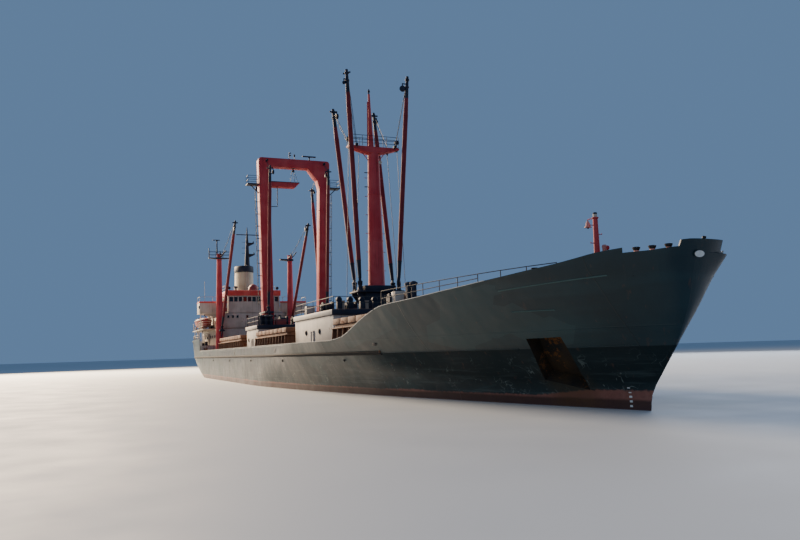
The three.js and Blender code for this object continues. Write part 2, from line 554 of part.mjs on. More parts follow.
function makeDeckGear() {
  const z = forecastleDeckAt(WINDLASS_X + 0.8) + 0.01;
  const bed = block([WINDLASS_X - 0.8, WINDLASS_X + 0.8], [-2.2, 2.2], [z, z + 0.2]);
  const shaft = bar([WINDLASS_X, -2.6, z + 0.75], [WINDLASS_X, 2.6, z + 0.75], 0.14, 0.14, 10);
  const drums = [-2.4, -1.3, 1.3, 2.4].map((y) => bar([WINDLASS_X, y - 0.25, z + 0.75], [WINDLASS_X, y + 0.25, z + 0.75],
    Math.abs(y) > 2 ? 0.32 : 0.5, Math.abs(y) > 2 ? 0.32 : 0.5, 14));
  const gearbox = block([WINDLASS_X - 0.6, WINDLASS_X + 0.7], [-0.55, 0.55], [z + 0.1, z + 1.2]);
  const cheeks = [-1.9, -0.8, 0.8, 1.9].map((y) => block([WINDLASS_X - 0.35, WINDLASS_X + 0.35], [y - 0.1, y + 0.1],
    [z + 0.1, z + 1.0]));
  addPiece('windlass', join(bed, shaft, gearbox, ...drums, ...cheeks), 'fittingNavy');

  const foot = forecastleDeckAt(FOREMAST.x + 0.3) + 0.01;
  const mast = bar([FOREMAST.x, 0, foot], [FOREMAST.x, 0, FOREMAST.top], FOREMAST.radius, 0.11, 10);
  const base = block([FOREMAST.x - 0.3, FOREMAST.x + 0.3], [-0.3, 0.3], [foot, foot + 0.12]);
  const bracket = block([FOREMAST.x - 0.7, FOREMAST.x], [-0.06, 0.06], [8.0, 8.1]);
  addPiece('foremast', join(base, mast, bracket), 'mastRed');

  const rows = [
    { name: 'main_winches', x: 13.2, ys: [-3.2, -1.1, 1.1, 3.2] },
    { name: 'portal_winches', x: -10.0, ys: [-1.5, 0, 1.5] },
  ];
  for (const { name, x, ys } of rows) {
    const z0 = MAST_HOUSE_TOP + GAP;
    const pieces = [block([x - 0.7, x + 0.7], [ys[0] - 0.6, ys[ys.length - 1] + 0.6], [z0, z0 + 0.12])];
    for (const y of ys) {
      pieces.push(bar([x, y - 0.45, z0 + 0.6], [x, y + 0.45, z0 + 0.6], 0.26, 0.26, 12));
      for (const end of [-0.45, 0.45]) {
        pieces.push(bar([x, y + end - 0.05, z0 + 0.6], [x, y + end + 0.05, z0 + 0.6], 0.46, 0.46, 14));
      }
      pieces.push(block([x - 0.25, x + 0.25], [y - 0.12, y + 0.12], [z0 + 0.05, z0 + 0.8]));
    }
    addPiece(name, join(...pieces), 'fittingNavy');
  }
}

// Propeller and spade rudder.
const PROPELLER = { x: -47.3, radius: 1.65, hub: 0.38, blades: 4 };
const RUDDER = {
  stock: -48.9, stockTop: -0.6, stockRadius: 0.2, trunk: 0.2037,
  fore: -48.15, aft: -50.7, low: -5.35, high: -1.55, half: 0.17,
};

function makePropulsion() {
  const hub = bar([SHAFT.bossEnd - GAP, 0, SHAFT.z], [PROPELLER.x - 0.55, 0, SHAFT.z], PROPELLER.hub, 0.2, 14);
  const outline = new THREE.Shape();
  outline.absellipse(0, PROPELLER.radius / 2, 0.48, PROPELLER.radius / 2, 0, Math.PI * 2);
  const blades = [];
  for (let i = 0; i < PROPELLER.blades; i += 1) {
    const blade = new THREE.ExtrudeGeometry(outline, { depth: 0.09, bevelEnabled: false, curveSegments: 10 });
    blade.translate(0, 0, -0.045);
    blade.rotateY(Math.PI / 2 + 0.55);
    blade.rotateX(Math.PI / 2 + (i / PROPELLER.blades) * Math.PI * 2);
    blade.translate(PROPELLER.x, 0, SHAFT.z);
    blades.push(solidOf(blade));
  }
  addPiece('propeller', join(hub, ...blades), 'bronze');

  const section = [
    [RUDDER.fore, 0], [RUDDER.fore - 0.25, RUDDER.half], [RUDDER.fore - 0.9, RUDDER.half + 0.05],
    [RUDDER.aft, 0.03], [RUDDER.aft, -0.03], [RUDDER.fore - 0.9, -RUDDER.half - 0.05], [RUDDER.fore - 0.25, -RUDDER.half],
  ];
  const blade = plate('XY', section.reverse(), RUDDER.low, RUDDER.high);
  const stock = bar([RUDDER.stock, 0, RUDDER.high - 0.3], [RUDDER.stock, 0, RUDDER.stockTop],
    RUDDER.stockRadius, RUDDER.stockRadius, 24);
  addPiece('rudder', join(blade, stock), 'underwaterRed');
}

// Derricks: a gooseneck that slews on the mast's table, and a boom on its pin.
const DERRICKS = [
  { name: 'main_fore', heel: [17.5, 1.68, 8.4], head: [18.3, 2.69, 25.73], table: MAIN_TABLE.high },
  { name: 'main_aft', heel: [16.15, 1.69, 8.4], head: [12.0, 1.93, 24.44], table: MAIN_TABLE.high },
  { name: 'portal_fore', heel: [-8.75, 3.4, 8.05], head: [-7.2, 3.4, 23.9], table: PORTAL_TABLE.high },
  { name: 'portal_aft', heel: [-11.25, 3.4, 8.05], head: [-14.1, 3.3, 23.07], table: PORTAL_TABLE.high },
  { name: 'after', heel: [-32.0, 4.9, 6.9], head: [-21.4, 4.82, 20.0], table: SAMSON.bracket },
];
const BOOM = { heelRadius: 0.13, radius: 0.2, headRadius: 0.12, eyeRadius: 0.15, eyeHalf: 0.07, shank: 0.34, sides: 10 };
const FORK = { cheek: 0.06, gap: 0.012, width: 0.3, pinRadius: 0.06 };

function makeDerrick({ name, heel, head, table }, side, s) {
  const foot = new THREE.Vector3(heel[0], s * heel[1], heel[2]);
  const tip = new THREE.Vector3(head[0], s * head[1], head[2]);
  const along = tip.clone().sub(foot).normalize();
  const flat = new THREE.Vector3(along.x, along.y, 0).normalize();
  const up = new THREE.Vector3(0, 0, 1);
  const pin = new THREE.Vector3().crossVectors(up, flat).normalize();
  const length = foot.distanceTo(tip);

  const lean = (geometry, forward, top) => {
    geometry.applyMatrix4(new THREE.Matrix4().makeBasis(forward, pin, top).setPosition(foot));
    return solidOf(geometry);
  };
  const forward = new THREE.Vector3().crossVectors(pin, along).normalize();

  const profile = [
    [0, BOOM.shank], [BOOM.heelRadius, BOOM.shank], [BOOM.radius, length * 0.18],
    [BOOM.radius, length * 0.72], [BOOM.headRadius, length - 0.1], [BOOM.headRadius, length], [0, length],
  ].map(([r, h]) => new THREE.Vector2(r, h));
  const spar = new THREE.LatheGeometry(profile, BOOM.sides);
  spar.rotateX(Math.PI / 2);
  const eye = new THREE.CylinderGeometry(BOOM.eyeRadius, BOOM.eyeRadius, BOOM.eyeHalf * 2, 14);
  const neck = new THREE.BoxGeometry(BOOM.heelRadius * 1.6, BOOM.eyeHalf * 2, BOOM.shank + 0.02);
  neck.translate(0, 0, BOOM.shank / 2 + 0.01);
  const headFitting = new THREE.BoxGeometry(0.18, 0.36, 0.3);
  headFitting.translate(0, 0, length - 0.25);
  let boom = join(...[spar, eye, neck, headFitting].map((geometry) => lean(geometry, forward, along)));
  const bore = new THREE.CylinderGeometry(FORK.pinRadius + 0.005, FORK.pinRadius + 0.005, 1, 12);
  boom = boom.subtract(lean(bore, forward, along));
  addPiece(`derrick_${name}_${side}`, boom, 'mastRed');

  const drop = table + GAP - heel[2];
  const inner = BOOM.eyeHalf + FORK.gap;
  const neckPost = new THREE.CylinderGeometry(0.17, 0.17, -drop - BOOM.eyeRadius - 0.06, 12);
  neckPost.rotateX(Math.PI / 2);
  neckPost.translate(0, 0, (drop - BOOM.eyeRadius - 0.06) / 2);
  const saddle = new THREE.BoxGeometry(FORK.width, 2 * (inner + FORK.cheek), 0.08);
  saddle.translate(0, 0, -BOOM.eyeRadius - 0.06);
  const cheeks = [-1, 1].map((c) => {
    const cheek = new THREE.BoxGeometry(FORK.width, FORK.cheek, BOOM.eyeRadius + 0.2);
    cheek.translate(0, c * (inner + FORK.cheek / 2), 0.1 - (BOOM.eyeRadius + 0.2) / 2);
    return cheek;
  });
  const cross = new THREE.CylinderGeometry(FORK.pinRadius, FORK.pinRadius, 2 * (inner + 0.01), 12);
  const fork = join(...[neckPost, saddle, ...cheeks, cross].map((geometry) => lean(geometry, flat, up)));
  addPiece(`gooseneck_${name}_${side}`, fork, 'fittingNavy');
}

makeHull();
makeForecastle();
makePoop();
makeBulwarks();
makeCargoDeck();
makeMainMast();
makePortalMast();
makeSamsonPosts();
makeAccommodation();
makeFunnel();
makeLifeboats();
makeDeckGear();
makePropulsion();
for (const derrick of DERRICKS) {
  for (const { side, s } of bySide) makeDerrick(derrick, side, s);
}

export default ship;
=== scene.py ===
# A general cargo ship with derricks, as a 1:10 model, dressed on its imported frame.
# Places below are in metres of the real ship, in the same axes as the model: +X to the bow,
# +Y to port, +Z up from the waterline. put() turns them into metres of the model.

import bpy
import bmesh
import json
import math
from mathutils import Matrix, Vector


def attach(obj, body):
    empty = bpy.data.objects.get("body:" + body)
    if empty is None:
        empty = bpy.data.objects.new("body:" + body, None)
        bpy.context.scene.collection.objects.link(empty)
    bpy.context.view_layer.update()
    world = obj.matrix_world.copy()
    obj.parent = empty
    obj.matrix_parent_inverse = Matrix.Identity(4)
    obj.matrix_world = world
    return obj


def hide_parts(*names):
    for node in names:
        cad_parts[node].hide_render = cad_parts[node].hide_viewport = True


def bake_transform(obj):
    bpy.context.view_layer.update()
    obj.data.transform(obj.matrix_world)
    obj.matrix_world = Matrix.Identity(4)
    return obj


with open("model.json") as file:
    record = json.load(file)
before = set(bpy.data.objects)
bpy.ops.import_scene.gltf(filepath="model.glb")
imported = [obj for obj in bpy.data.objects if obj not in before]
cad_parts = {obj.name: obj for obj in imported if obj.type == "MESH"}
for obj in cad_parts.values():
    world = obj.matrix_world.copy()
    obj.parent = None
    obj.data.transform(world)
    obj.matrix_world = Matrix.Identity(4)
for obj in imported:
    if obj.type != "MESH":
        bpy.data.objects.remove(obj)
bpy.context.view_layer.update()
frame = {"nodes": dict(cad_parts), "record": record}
SHIP = "ship"
# The model is a tenth of the ship.
K = 0.1
SIDES = (("starboard", -1), ("port", 1))
ALONG, ACROSS, UP = (1, 0, 0), (0, 1, 0), (0, 0, 1)


def put(point):
    return Vector(point) * K


# Camera: the photograph's place and angle, found from the horizon, the masts and the hull's lines.
CAMERA = {"place": (74.41, -21.54, 2.8), "heading": 0.38954, "pitch": 0.10707, "roll": -0.03004,
          "lens": 33.78}


def make_camera():
    heading, pitch, roll = CAMERA["heading"], CAMERA["pitch"], CAMERA["roll"]
    level = math.cos(pitch)
    look = Vector((-math.cos(heading) * level, math.sin(heading) * level, math.sin(pitch)))
    right = Vector((math.sin(heading), math.cos(heading), 0))
    up = right.cross(look)
    right, up = right * math.cos(roll) + up * math.sin(roll), up * math.cos(roll) - right * math.sin(roll)
    data = bpy.data.cameras.new("camera")
    data.lens = CAMERA["lens"]
    data.sensor_width = 36
    data.sensor_fit = "HORIZONTAL"
    data.clip_start = 0.05
    data.clip_end = 400
    camera = bpy.data.objects.new("camera", data)
    bpy.context.collection.objects.link(camera)
    turn = Matrix((right, up, -look)).transposed()
    camera.matrix_world = Matrix.Translation(put(CAMERA["place"])) @ turn.to_4x4()
    bpy.context.scene.camera = camera


make_camera()


# Materials

# A Mix node that blends two colours: its colour sockets are 6 and 7, its colour output is 2.
BLEND = {"out": 2, "data_type": "RGBA"}


def colour(code):
    """A hex sRGB colour as linear RGBA."""
    parts = [int(code[i:i + 2], 16) / 255 for i in (1, 3, 5)]
    return [p / 12.92 if p <= 0.04045 else ((p + 0.055) / 1.055) ** 2.4 for p in parts] + [1.0]


def add(tree, kind, inputs, out=0, **settings):
    """Adds a shader node with its settings and gives back one of its outputs. Inputs go to sockets by name or
    number, or in the sockets' order; each is a value or another node's output."""
    made = tree.nodes.new("ShaderNode" + kind)
    for key, value in settings.items():
        setattr(made, key, value)
    for key, value in inputs.items() if isinstance(inputs, dict) else enumerate(inputs):
        if isinstance(value, bpy.types.NodeSocket):
            tree.links.new(value, made.inputs[key])
        else:
            made.inputs[key].default_value = value
    return made.outputs[out]


def new_material(name):
    """An empty material, its node tree and the Object coordinates of the piece that it lies on."""
    material = bpy.data.materials.new(name)
    material.use_nodes = True
    tree = material.node_tree
    tree.nodes.clear()
    return material, tree, add(tree, "TexCoord", (), "Object")


def surface(material, base, roughness, height, strength, distance, numbers):
    """Ends a material: what varies is linked to the shader, numbers that hold all over go on its sockets."""
    tree = material.node_tree
    bump = add(tree, "Bump", {"Height": height, "Strength": strength, "Distance": distance})
    sockets = {"Base Color": base, "Roughness": roughness, "Normal": bump, **numbers}
    shader = add(tree, "BsdfPrincipled", sockets)
    output = tree.nodes.new("ShaderNodeOutputMaterial")
    tree.links.new(shader, output.inputs["Surface"])
    return material


def weathered(name, base, faded, rough=0.5, rust=0.35, streaks=0.4, grain=0.35, metal=0.0, rust_hex="#6b3a20",
              specular=0.5):
    """Brushed or rolled ship's paint on steel: faded patches, runs of dirt under gravity, spots of rust.
    rust and streaks are shares from 0 to 1; grain is the height of the brush marks."""
    material, tree, place = new_material(name)
    # Patches of faded paint, about 1.5 m across on the ship, 150 mm on the model.
    patch = add(tree, "TexNoise", {"Vector": place, "Scale": 6.5, "Detail": 4.0, "Roughness": 0.55})
    fade = add(tree, "MapRange", (patch, 0.38, 0.68))
    paint = add(tree, "Mix", {0: fade, 6: colour(base), 7: colour(faded)}, **BLEND)
    # Runs of dirt: noise drawn out down the surface, 8 mm wide on the model.
    drawn = add(tree, "Mapping", {"Vector": place, "Scale": (60.0, 60.0, 3.5)})
    run = add(tree, "TexNoise", {"Vector": drawn, "Scale": 1.0, "Detail": 3.0})
    runs = add(tree, "MapRange", (run, 0.56, 0.74, 0.0, streaks))
    paint = add(tree, "Mix", {0: runs, 6: paint, 7: colour("#4a4038")}, blend_type="MULTIPLY", **BLEND)
    # Rust: fine spots, gathered where a broad noise is high; 4 mm grains on the model.
    fine = add(tree, "TexNoise", {"Vector": place, "Scale": 55.0, "Detail": 8.0, "Roughness": 0.7})
    broad = add(tree, "TexNoise", {"Vector": place, "Scale": 9.0, "Detail": 2.0})
    both = add(tree, "Math", (fine, broad), operation="MULTIPLY")
    limit = 0.45 - 0.17 * rust
    spots = add(tree, "MapRange", (both, limit, limit + 0.035))
    paint = add(tree, "Mix", {0: spots, 6: paint, 7: colour(rust_hex)}, **BLEND)
    gloss = add(tree, "MapRange", (fine, 0.0, 1.0, rough - 0.08, rough + 0.14))
    dull = add(tree, "Math", (spots, 0.3), operation="MULTIPLY")
    total = add(tree, "Math", (gloss, dull), operation="ADD", use_clamp=True)
    height = add(tree, "Math", (fine, spots), operation="ADD")
    numbers = {"Metallic": metal, "IOR": 1.5, "Specular IOR Level": specular}
    return surface(material, paint, total, height, grain, 0.0012, numbers)


def hull_paint():
    """Alkyd topside paint rolled on welded plate: teal going grey where it has chalked, plate seams and
    frames that show through, a red-brown boot-top at the water, rust that runs from the openings, and painted
    shade under the flare."""
    material, tree, place = new_material("alkyd_topside_paint_teal")
    ahead, _, up = add(tree, "SeparateXYZ", (place,)).node.outputs
    patch = add(tree, "TexNoise", {"Vector": place, "Scale": 2.6, "Detail": 6.0, "Roughness": 0.6})
    fade = add(tree, "MapRange", (patch, 0.4, 0.72))
    # Broad roller bands along the ship, 60 mm high on the model.
    drawn = add(tree, "Mapping", {"Vector": place, "Scale": (1.2, 1.2, 16.0)})
    band = add(tree, "TexNoise", {"Vector": drawn, "Scale": 1.0, "Detail": 3.0})
    bands = add(tree, "MapRange", (band, 0.5, 0.75, 0.0, 0.4))
    # Square-edged areas of newer and older paint, some 4 m long on the ship, 400 mm on the model.
    turned_place = {"Vector": place, "Scale": (2.4, 1.2, 5.0), "Rotation": (0.0, 0.35, 0.0)}
    areas = {"Vector": add(tree, "Mapping", turned_place), "Scale": 1.0, "Randomness": 0.8}
    cells = add(tree, "TexVoronoi", areas, "Color", distance="CHEBYCHEV")
    tone = add(tree, "SeparateXYZ", (cells,))
    newer = add(tree, "MapRange", (tone, 0.6, 0.7, 0.0, 0.16))
    # Painted shade below the knuckle of the fore part, under the overhang of the flare; its lower edge
    # wanders.
    fore = add(tree, "MapRange", (ahead, 2.85, 3.3))
    under_knuckle = add(tree, "MapRange", (up, 0.273, 0.268))
    shade_edge = add(tree, "MapRange", (ahead, 3.0, 4.2, 0.17, 0.06))
    wavy = add(tree, "Math", (patch, 0.12, shade_edge), operation="MULTIPLY_ADD")
    over = add(tree, "Math", (up, wavy), operation="SUBTRACT")
    above_shade_edge = add(tree, "MapRange", (over, -0.07, 0.0))
    both = add(tree, "Math", (fore, under_knuckle), operation="MULTIPLY")
    flare_shade = add(tree, "Math", (both, above_shade_edge), operation="MULTIPLY")
    flare_shade_share = add(tree, "Math", (flare_shade, 0.8), operation="MULTIPLY")
    # The lower strakes are chalkier, from rubbing along quays.
    low = add(tree, "MapRange", (up, 0.26, 0.06))
    drawn = add(tree, "Mapping", {"Vector": place, "Scale": (3.0, 3.0, 55.0)})
    scuff = add(tree, "TexNoise", {"Vector": drawn, "Scale": 1.0, "Detail": 5.0, "Roughness": 0.65})
    scuffs = add(tree, "MapRange", (scuff, 0.53, 0.66))
    rubbed = add(tree, "Math", (low, scuffs), operation="MULTIPLY")
    chalk = add(tree, "Math", (rubbed, 0.28), operation="MULTIPLY")
    # Short light scratches, 0.1 m to 0.5 m long on the ship: thin contours of a noise, kept in patches.
    swirl = add(tree, "TexNoise", {"Vector": place, "Scale": 17.0, "Detail": 2.0, "Distortion": 0.6})
    middle = add(tree, "Math", (swirl, 0.5), operation="SUBTRACT")
    thin = add(tree, "Math", (middle,), operation="ABSOLUTE")
    stroke = add(tree, "MapRange", (thin, 0.012, 0.003, 0.0, 0.55))
    gather = add(tree, "TexNoise", {"Vector": place, "Scale": 11.0, "Detail": 1.0})
    gathered = add(tree, "MapRange", (gather, 0.5, 0.6))
    zone = add(tree, "MapRange", (up, 0.27, 0.12))
    strokes = add(tree, "Math", (stroke, gathered), operation="MULTIPLY")
    scratches = add(tree, "Math", (strokes, zone), operation="MULTIPLY")
    # Rust runs: 6 mm wide on the model, drawn out downwards.
    drawn = add(tree, "Mapping", {"Vector": place, "Scale": (34.0, 34.0, 2.6)})
    run = add(tree, "TexNoise", {"Vector": drawn, "Scale": 1.0, "Detail": 4.0, "Roughness": 0.6})
    runs = add(tree, "MapRange", (run, 0.63, 0.76, 0.0, 0.6))
    fine = add(tree, "TexNoise", {"Vector": place, "Scale": 48.0, "Detail": 8.0, "Roughness": 0.7})
    # Boot-top: its edge wanders a few millimetres, and it climbs towards the bow.
    climb = add(tree, "MapRange", (ahead, 4.3, 4.62, 0.048, 0.083))
    wander = add(tree, "MapRange", (patch, 0.0, 1.0, -0.012, 0.012))
    ragged = add(tree, "MapRange", (fine, 0.0, 1.0, -0.012, 0.012))
    edge = add(tree, "Math", (climb, wander), operation="ADD")
    edge = add(tree, "Math", (edge, ragged), operation="ADD")
    below = add(tree, "Math", (edge, up), operation="SUBTRACT")
    boot = add(tree, "MapRange", (below, -0.003, 0.004))
    # The lowest 450 mm of the ship's side is wet and darker.
    level = add(tree, "Math", (wander, up), operation="ADD")
    wet = add(tree, "MapRange", (level, 0.047, 0.036, 0.0, 0.8))
    above = add(tree, "MapRange", (up, -0.04, -0.01))
    soaked = add(tree, "Math", (wet, above), operation="MULTIPLY")
    # Rust washed down from the anchor recess.
    near = add(tree, "Math", (ahead, 4.52), operation="SUBTRACT")
    away = add(tree, "Math", (near,), operation="ABSOLUTE")
    beside = add(tree, "MapRange", (away, 0.17, 0.08))
    under = add(tree, "MapRange", (up, 0.2, 0.1))
    washed = add(tree, "Math", (beside, under), operation="MULTIPLY")
    stain = add(tree, "Math", (washed, fine), operation="MULTIPLY")
    # Dirt lies along the welded butts of the side.
    butt = add(tree, "Math", (ahead, 0.62), operation="PINGPONG")
    dirt = add(tree, "MapRange", (butt, 0.005, 0.001, 0.0, 0.4))
    # The layers of the side from the paint outwards, then those of the boot-top.
    side = add(tree, "Mix", {0: fade, 6: colour("#082328"), 7: colour("#103236")}, **BLEND)
    # The near-black layer under the flare's knuckle is painted shade.
    for share, layer in ((bands, "#1b4044"), (newer, "#3c605f"), (flare_shade_share, "#031314"), (chalk, "#687b78"),
                         (scratches, "#8b9992"), (runs, "#54392a"), (stain, "#3f3317"), (dirt, "#0f1a1a")):
        side = add(tree, "Mix", {0: share, 6: side, 7: colour(layer)}, **BLEND)
    bottom = add(tree, "Mix", {0: fine, 6: colour("#65392f"), 7: colour("#a56c5a")}, **BLEND)
    for share, layer in ((soaked, "#2a1712"), (stain, "#5a3c18")):
        bottom = add(tree, "Mix", {0: share, 6: bottom, 7: colour(layer)}, **BLEND)
    paint = add(tree, "Mix", {0: boot, 6: side, 7: bottom}, **BLEND)
    # The painted shade under the flare is also matt.
    gloss = add(tree, "MapRange", (fade, 0.0, 1.0, 0.36, 0.52))
    matt = add(tree, "Math", (flare_shade, 0.5, gloss), operation="MULTIPLY_ADD", use_clamp=True)
    # Welded seams: butts every 6.2 m along the ship and strakes every 1.75 m up the side.
    height = add(tree, "Math", (fine, 0.35), operation="MULTIPLY")
    for axis, pitch in ((ahead, 0.62), (up, 0.175)):
        turn = add(tree, "Math", (axis, pitch), operation="PINGPONG")
        weld = add(tree, "MapRange", (turn, 0.0035, 0.0))
        height = add(tree, "Math", (weld, height), operation="ADD")
    # Plating pressed in between its frames: a shallow wave every 0.7 m on the ship.
    wave = add(tree, "TexNoise", {"Vector": place, "Scale": 9.0, "Detail": 1.0})
    dents = add(tree, "Math", (wave, 5.0), operation="MULTIPLY")
    total = add(tree, "Math", (height, dents), operation="ADD")
    return surface(material, paint, matt, total, 0.6, 0.0016, {"IOR": 1.5})


def plain(name, base, rough=0.4, metal=0.0, scale=120.0, depth=0.15, spread=0.08):
    """A clean finish with a fine grain: glass, plastic, rubber, cast bronze."""
    material, tree, place = new_material(name)
    grain = add(tree, "TexNoise", {"Vector": place, "Scale": scale, "Detail": 4.0})
    dark = [c * (1 - 2 * spread) for c in colour(base)[:3]] + [1.0]
    body = add(tree, "Mix", {0: grain, 6: dark, 7: colour(base)}, **BLEND)
    gloss = add(tree, "MapRange", (grain, 0.0, 1.0, rough * 0.8, rough * 1.2))
    return surface(material, body, gloss, grain, depth, 0.0008, {"Metallic": metal})


HULL = hull_paint()
BULWARK_INSIDE = weathered("alkyd_paint_grey_inside_bulwark", "#8f918a", "#a6a69c", 0.55, 0.55, 0.5)
DECK = weathered("deck_paint_red_oxide", "#5a2f26", "#6f4638", 0.75, 0.6, 0.2, 0.6)
MAST_RED = weathered("alkyd_paint_mast_red", "#a42c35", "#b04549", 0.64, 0.22, 0.4, specular=0.3)
BOOM_RED = weathered("alkyd_paint_boom_dark_red", "#5f1620", "#742530", 0.65, 0.22, 0.4, specular=0.3)
NAVY = weathered("alkyd_paint_blue_black", "#171e2d", "#252c3c", 0.6, 0.25, 0.3, specular=0.25)
WHITE = weathered("alkyd_paint_house_white", "#b3ab9e", "#9f978a", 0.6, 0.3, 0.45)
GREY = weathered("alkyd_paint_mast_house_grey", "#9b9992", "#b3aea4", 0.55, 0.35, 0.45)
HATCH = weathered("primer_on_steel_hatch_brown", "#5e3d2a", "#7a5238", 0.75, 0.75, 0.5, 0.7)
FASCIA = weathered("alkyd_paint_fascia_red", "#b8332b", "#c65448", 0.45, 0.2, 0.4)
CREAM = weathered("alkyd_paint_funnel_cream", "#a9a18d", "#958c79", 0.6, 0.15, 0.4)
ORANGE = weathered("gelcoat_grp_red", "#6b1c1d", "#7a2a28", 0.5, 0.05, 0.4, 0.1, specular=0.3)
# The anchor recesses: brown rust patches on near-black, and the near-black is painted shade inside the
# recess.
POCKET = weathered("anchor_recess_rust_on_painted_shade", "#0c1010", "#3f2d12", 0.8, 0.85, 0.5, 0.6,
                   rust_hex="#6e4620")
RUBBER = plain("black_rubber_fender_strip", "#08090a", 0.9, 0.0, 200.0, 0.3)
BRONZE = plain("cast_aluminium_bronze", "#a98648", 0.3, 1.0)
ANTIFOULING = weathered("antifouling_red", "#5f241d", "#74382b", 0.8, 0.4, 0.2, 0.7)
GLASS = plain("tempered_window_glass", "#0d1418", 0.06, 0.0, 30.0, 0.0, 0.1)
WIRE = plain("greased_steel_wire_rope", "#2c3036", 0.55, 0.3, 400.0, 0.4)
RAIL_PAINT = weathered("alkyd_paint_rail_white", "#a9aca6", "#c2c2b8", 0.5, 0.3, 0.3)
# A lighter teal for the weld beads: a painted highlight where they catch the light.
BEAD_HIGHLIGHT = weathered("topside_paint_lightened_for_bead_highlight", "#35514f", "#47635f", 0.6, 0.3, 0.3)
MARK_WHITE = weathered("alkyd_paint_mark_white", "#e6e4dc", "#d6d2c6", 0.5, 0.1, 0.2)
RAIL_GREY = weathered("alkyd_paint_rail_grey", "#34383b", "#494c4d", 0.6, 0.35, 0.3, specular=0.25)
IRON = weathered("oiled_cast_iron_black", "#14161a", "#24262a", 0.5, 0.4, 0.2, 0.5, 0.4)
ROLLER_PINK = weathered("red_oxide_primer_faded_pink", "#a86a62", "#b98279", 0.6, 0.3, 0.3)
VENT_RED = weathered("alkyd_paint_vent_red", "#7d2b2c", "#8f3a36", 0.5, 0.2, 0.3)
SIDELIGHT = plain("moulded_polycarbonate_lantern", "#1c2024", 0.2, 0.0, 60.0, 0.05, 0.1)

BY_SLOT = {
    "hull_paint": HULL, "topside_paint": HULL, "hatch_paint": HATCH, "mast_red_paint": MAST_RED,
    "fitting_navy_paint": NAVY, "mast_house_grey_paint": GREY, "fascia_red_paint": FASCIA,
    "lifeboat_orange_plastic": ORANGE, "funnel_cream_paint": CREAM, "propeller_bronze": BRONZE,
    "antifouling_red_paint": ANTIFOULING, "house_white_paint": WHITE,
}


def paint_nodes():
    """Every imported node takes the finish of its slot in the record."""
    for part in frame["record"]["subparts"]:
        node = frame["nodes"][part["node"]]
        node.data.materials.clear()
        node.data.materials.append(BY_SLOT[part["material_slot"]])


paint_nodes()


# Modelling by hand: a piece is opened, primitives are added and shaped in it, and it is closed.

def spaced(start, end, steps):
    """Evenly spaced values from start to end."""
    return [start + (end - start) * i / steps for i in range(steps + 1)]


def moved(outline, u, v):
    """An outline moved along its two axes."""
    return [(u + a, v + b) for a, b in outline]


def mirrored(outline, s):
    """An outline across the ship, on the side s."""
    return [(s * y, z) for y, z in outline]


def begin(name, *materials):
    """Opens a new piece in edit mode, with its finishes in order."""
    bpy.ops.object.select_all(action="DESELECT")
    piece = bpy.data.objects.new(name, bpy.data.meshes.new(name))
    bpy.context.collection.objects.link(piece)
    for material in materials:
        piece.data.materials.append(material)
    bpy.context.view_layer.objects.active = piece
    piece.select_set(True)
    bpy.ops.object.mode_set(mode="EDIT")
    return piece


def set_apart():
    """Hides what the piece has so far, so that the next operators act on the new form alone."""
    bpy.ops.mesh.select_all(action="SELECT")
    bpy.ops.mesh.hide()


def take(finish):
    """Gives the new form its finish."""
    bpy.ops.mesh.select_all(action="SELECT")
    bpy.context.object.active_material_index = finish
    bpy.ops.object.material_slot_assign()


def round_edges(radius):
    if radius:
        bpy.ops.mesh.bevel(offset=radius * K, segments=2, affect="EDGES")


def face_outward():
    bpy.ops.mesh.select_all(action="SELECT")
    bpy.ops.mesh.normals_make_consistent(inside=False)


def box(corner, opposite, bevel=0.0, finish=0, turn=(0, 0, 0)):
    """A block between two opposite corners, turned about its middle, its edges rounded."""
    set_apart()
    low, high = (put([pick(pair) for pair in zip(corner, opposite)]) for pick in (min, max))
    bpy.ops.mesh.primitive_cube_add(size=1, location=(low + high) / 2, rotation=turn, scale=high - low)
    round_edges(bevel)
    take(finish)


def pad(x, y, z, half_long, half_wide, high, bevel=0.0, finish=0, turn=(0, 0, 0)):
    """A block that stands on a place: half its length, half its breadth, its height."""
    box((x - half_long, y - half_wide, z), (x + half_long, y + half_wide, z + high), bevel, finish, turn)


def turned(foot, axis, profile, sides=16, finish=0):
    """A turned form along an axis: a circle, extruded and resized for each (distance, radius)."""
    set_apart()
    foot = put(foot)
    axis = Vector(axis).normalized()
    turn = axis.to_track_quat("Z", "Y").to_euler()
    here, radius = profile[0]
    radius = max(radius, 1e-4)
    bpy.ops.mesh.primitive_circle_add(vertices=sides, radius=radius * K, fill_type="NGON",
                                      location=foot + axis * here * K, rotation=turn)
    for distance, wide in profile[1:]:
        wide = max(wide, 1e-4)
        step = axis * (distance - here) * K
        bpy.ops.mesh.extrude_region_move(TRANSFORM_OT_translate={"value": step})
        if abs(wide - radius) > 1e-7:
            middle = foot + axis * distance * K
            bpy.ops.transform.resize(value=(wide / radius,) * 3, center_override=middle)
        here, radius = distance, wide
    face_outward()
    take(finish)


def rod(start, end, radius, sides=10, finish=0):
    """A round bar from one point to another."""
    way = Vector(end) - Vector(start)
    turned(start, way, [(0, radius), (way.length, radius)], sides, finish)


def lofted(rings, finish=0, closed=True):
    """A skin over rows of points: a grid whose vertices are moved to the rows, then sewn. When closed, each
    row is a ring and both ends are filled."""
    set_apart()
    count = len(rings[0])
    across = count if closed else count - 1
    along = len(rings) - 1
    bpy.ops.mesh.primitive_grid_add(x_subdivisions=across, y_subdivisions=along, size=2)
    sheet = bmesh.from_edit_mesh(bpy.context.object.data)
    for vertex in sheet.verts:
        if vertex.select:
            i = round((vertex.co.x + 1) / 2 * across) % count
            j = round((vertex.co.y + 1) / 2 * along)
            vertex.co = put(rings[j][i])
    bmesh.update_edit_mesh(bpy.context.object.data)
    bpy.ops.mesh.remove_doubles(threshold=1e-5)
    if closed:
        bpy.ops.mesh.select_all(action="SELECT")
        bpy.ops.mesh.region_to_loop()
        bpy.ops.mesh.fill_holes(sides=0)
    face_outward()
    take(finish)


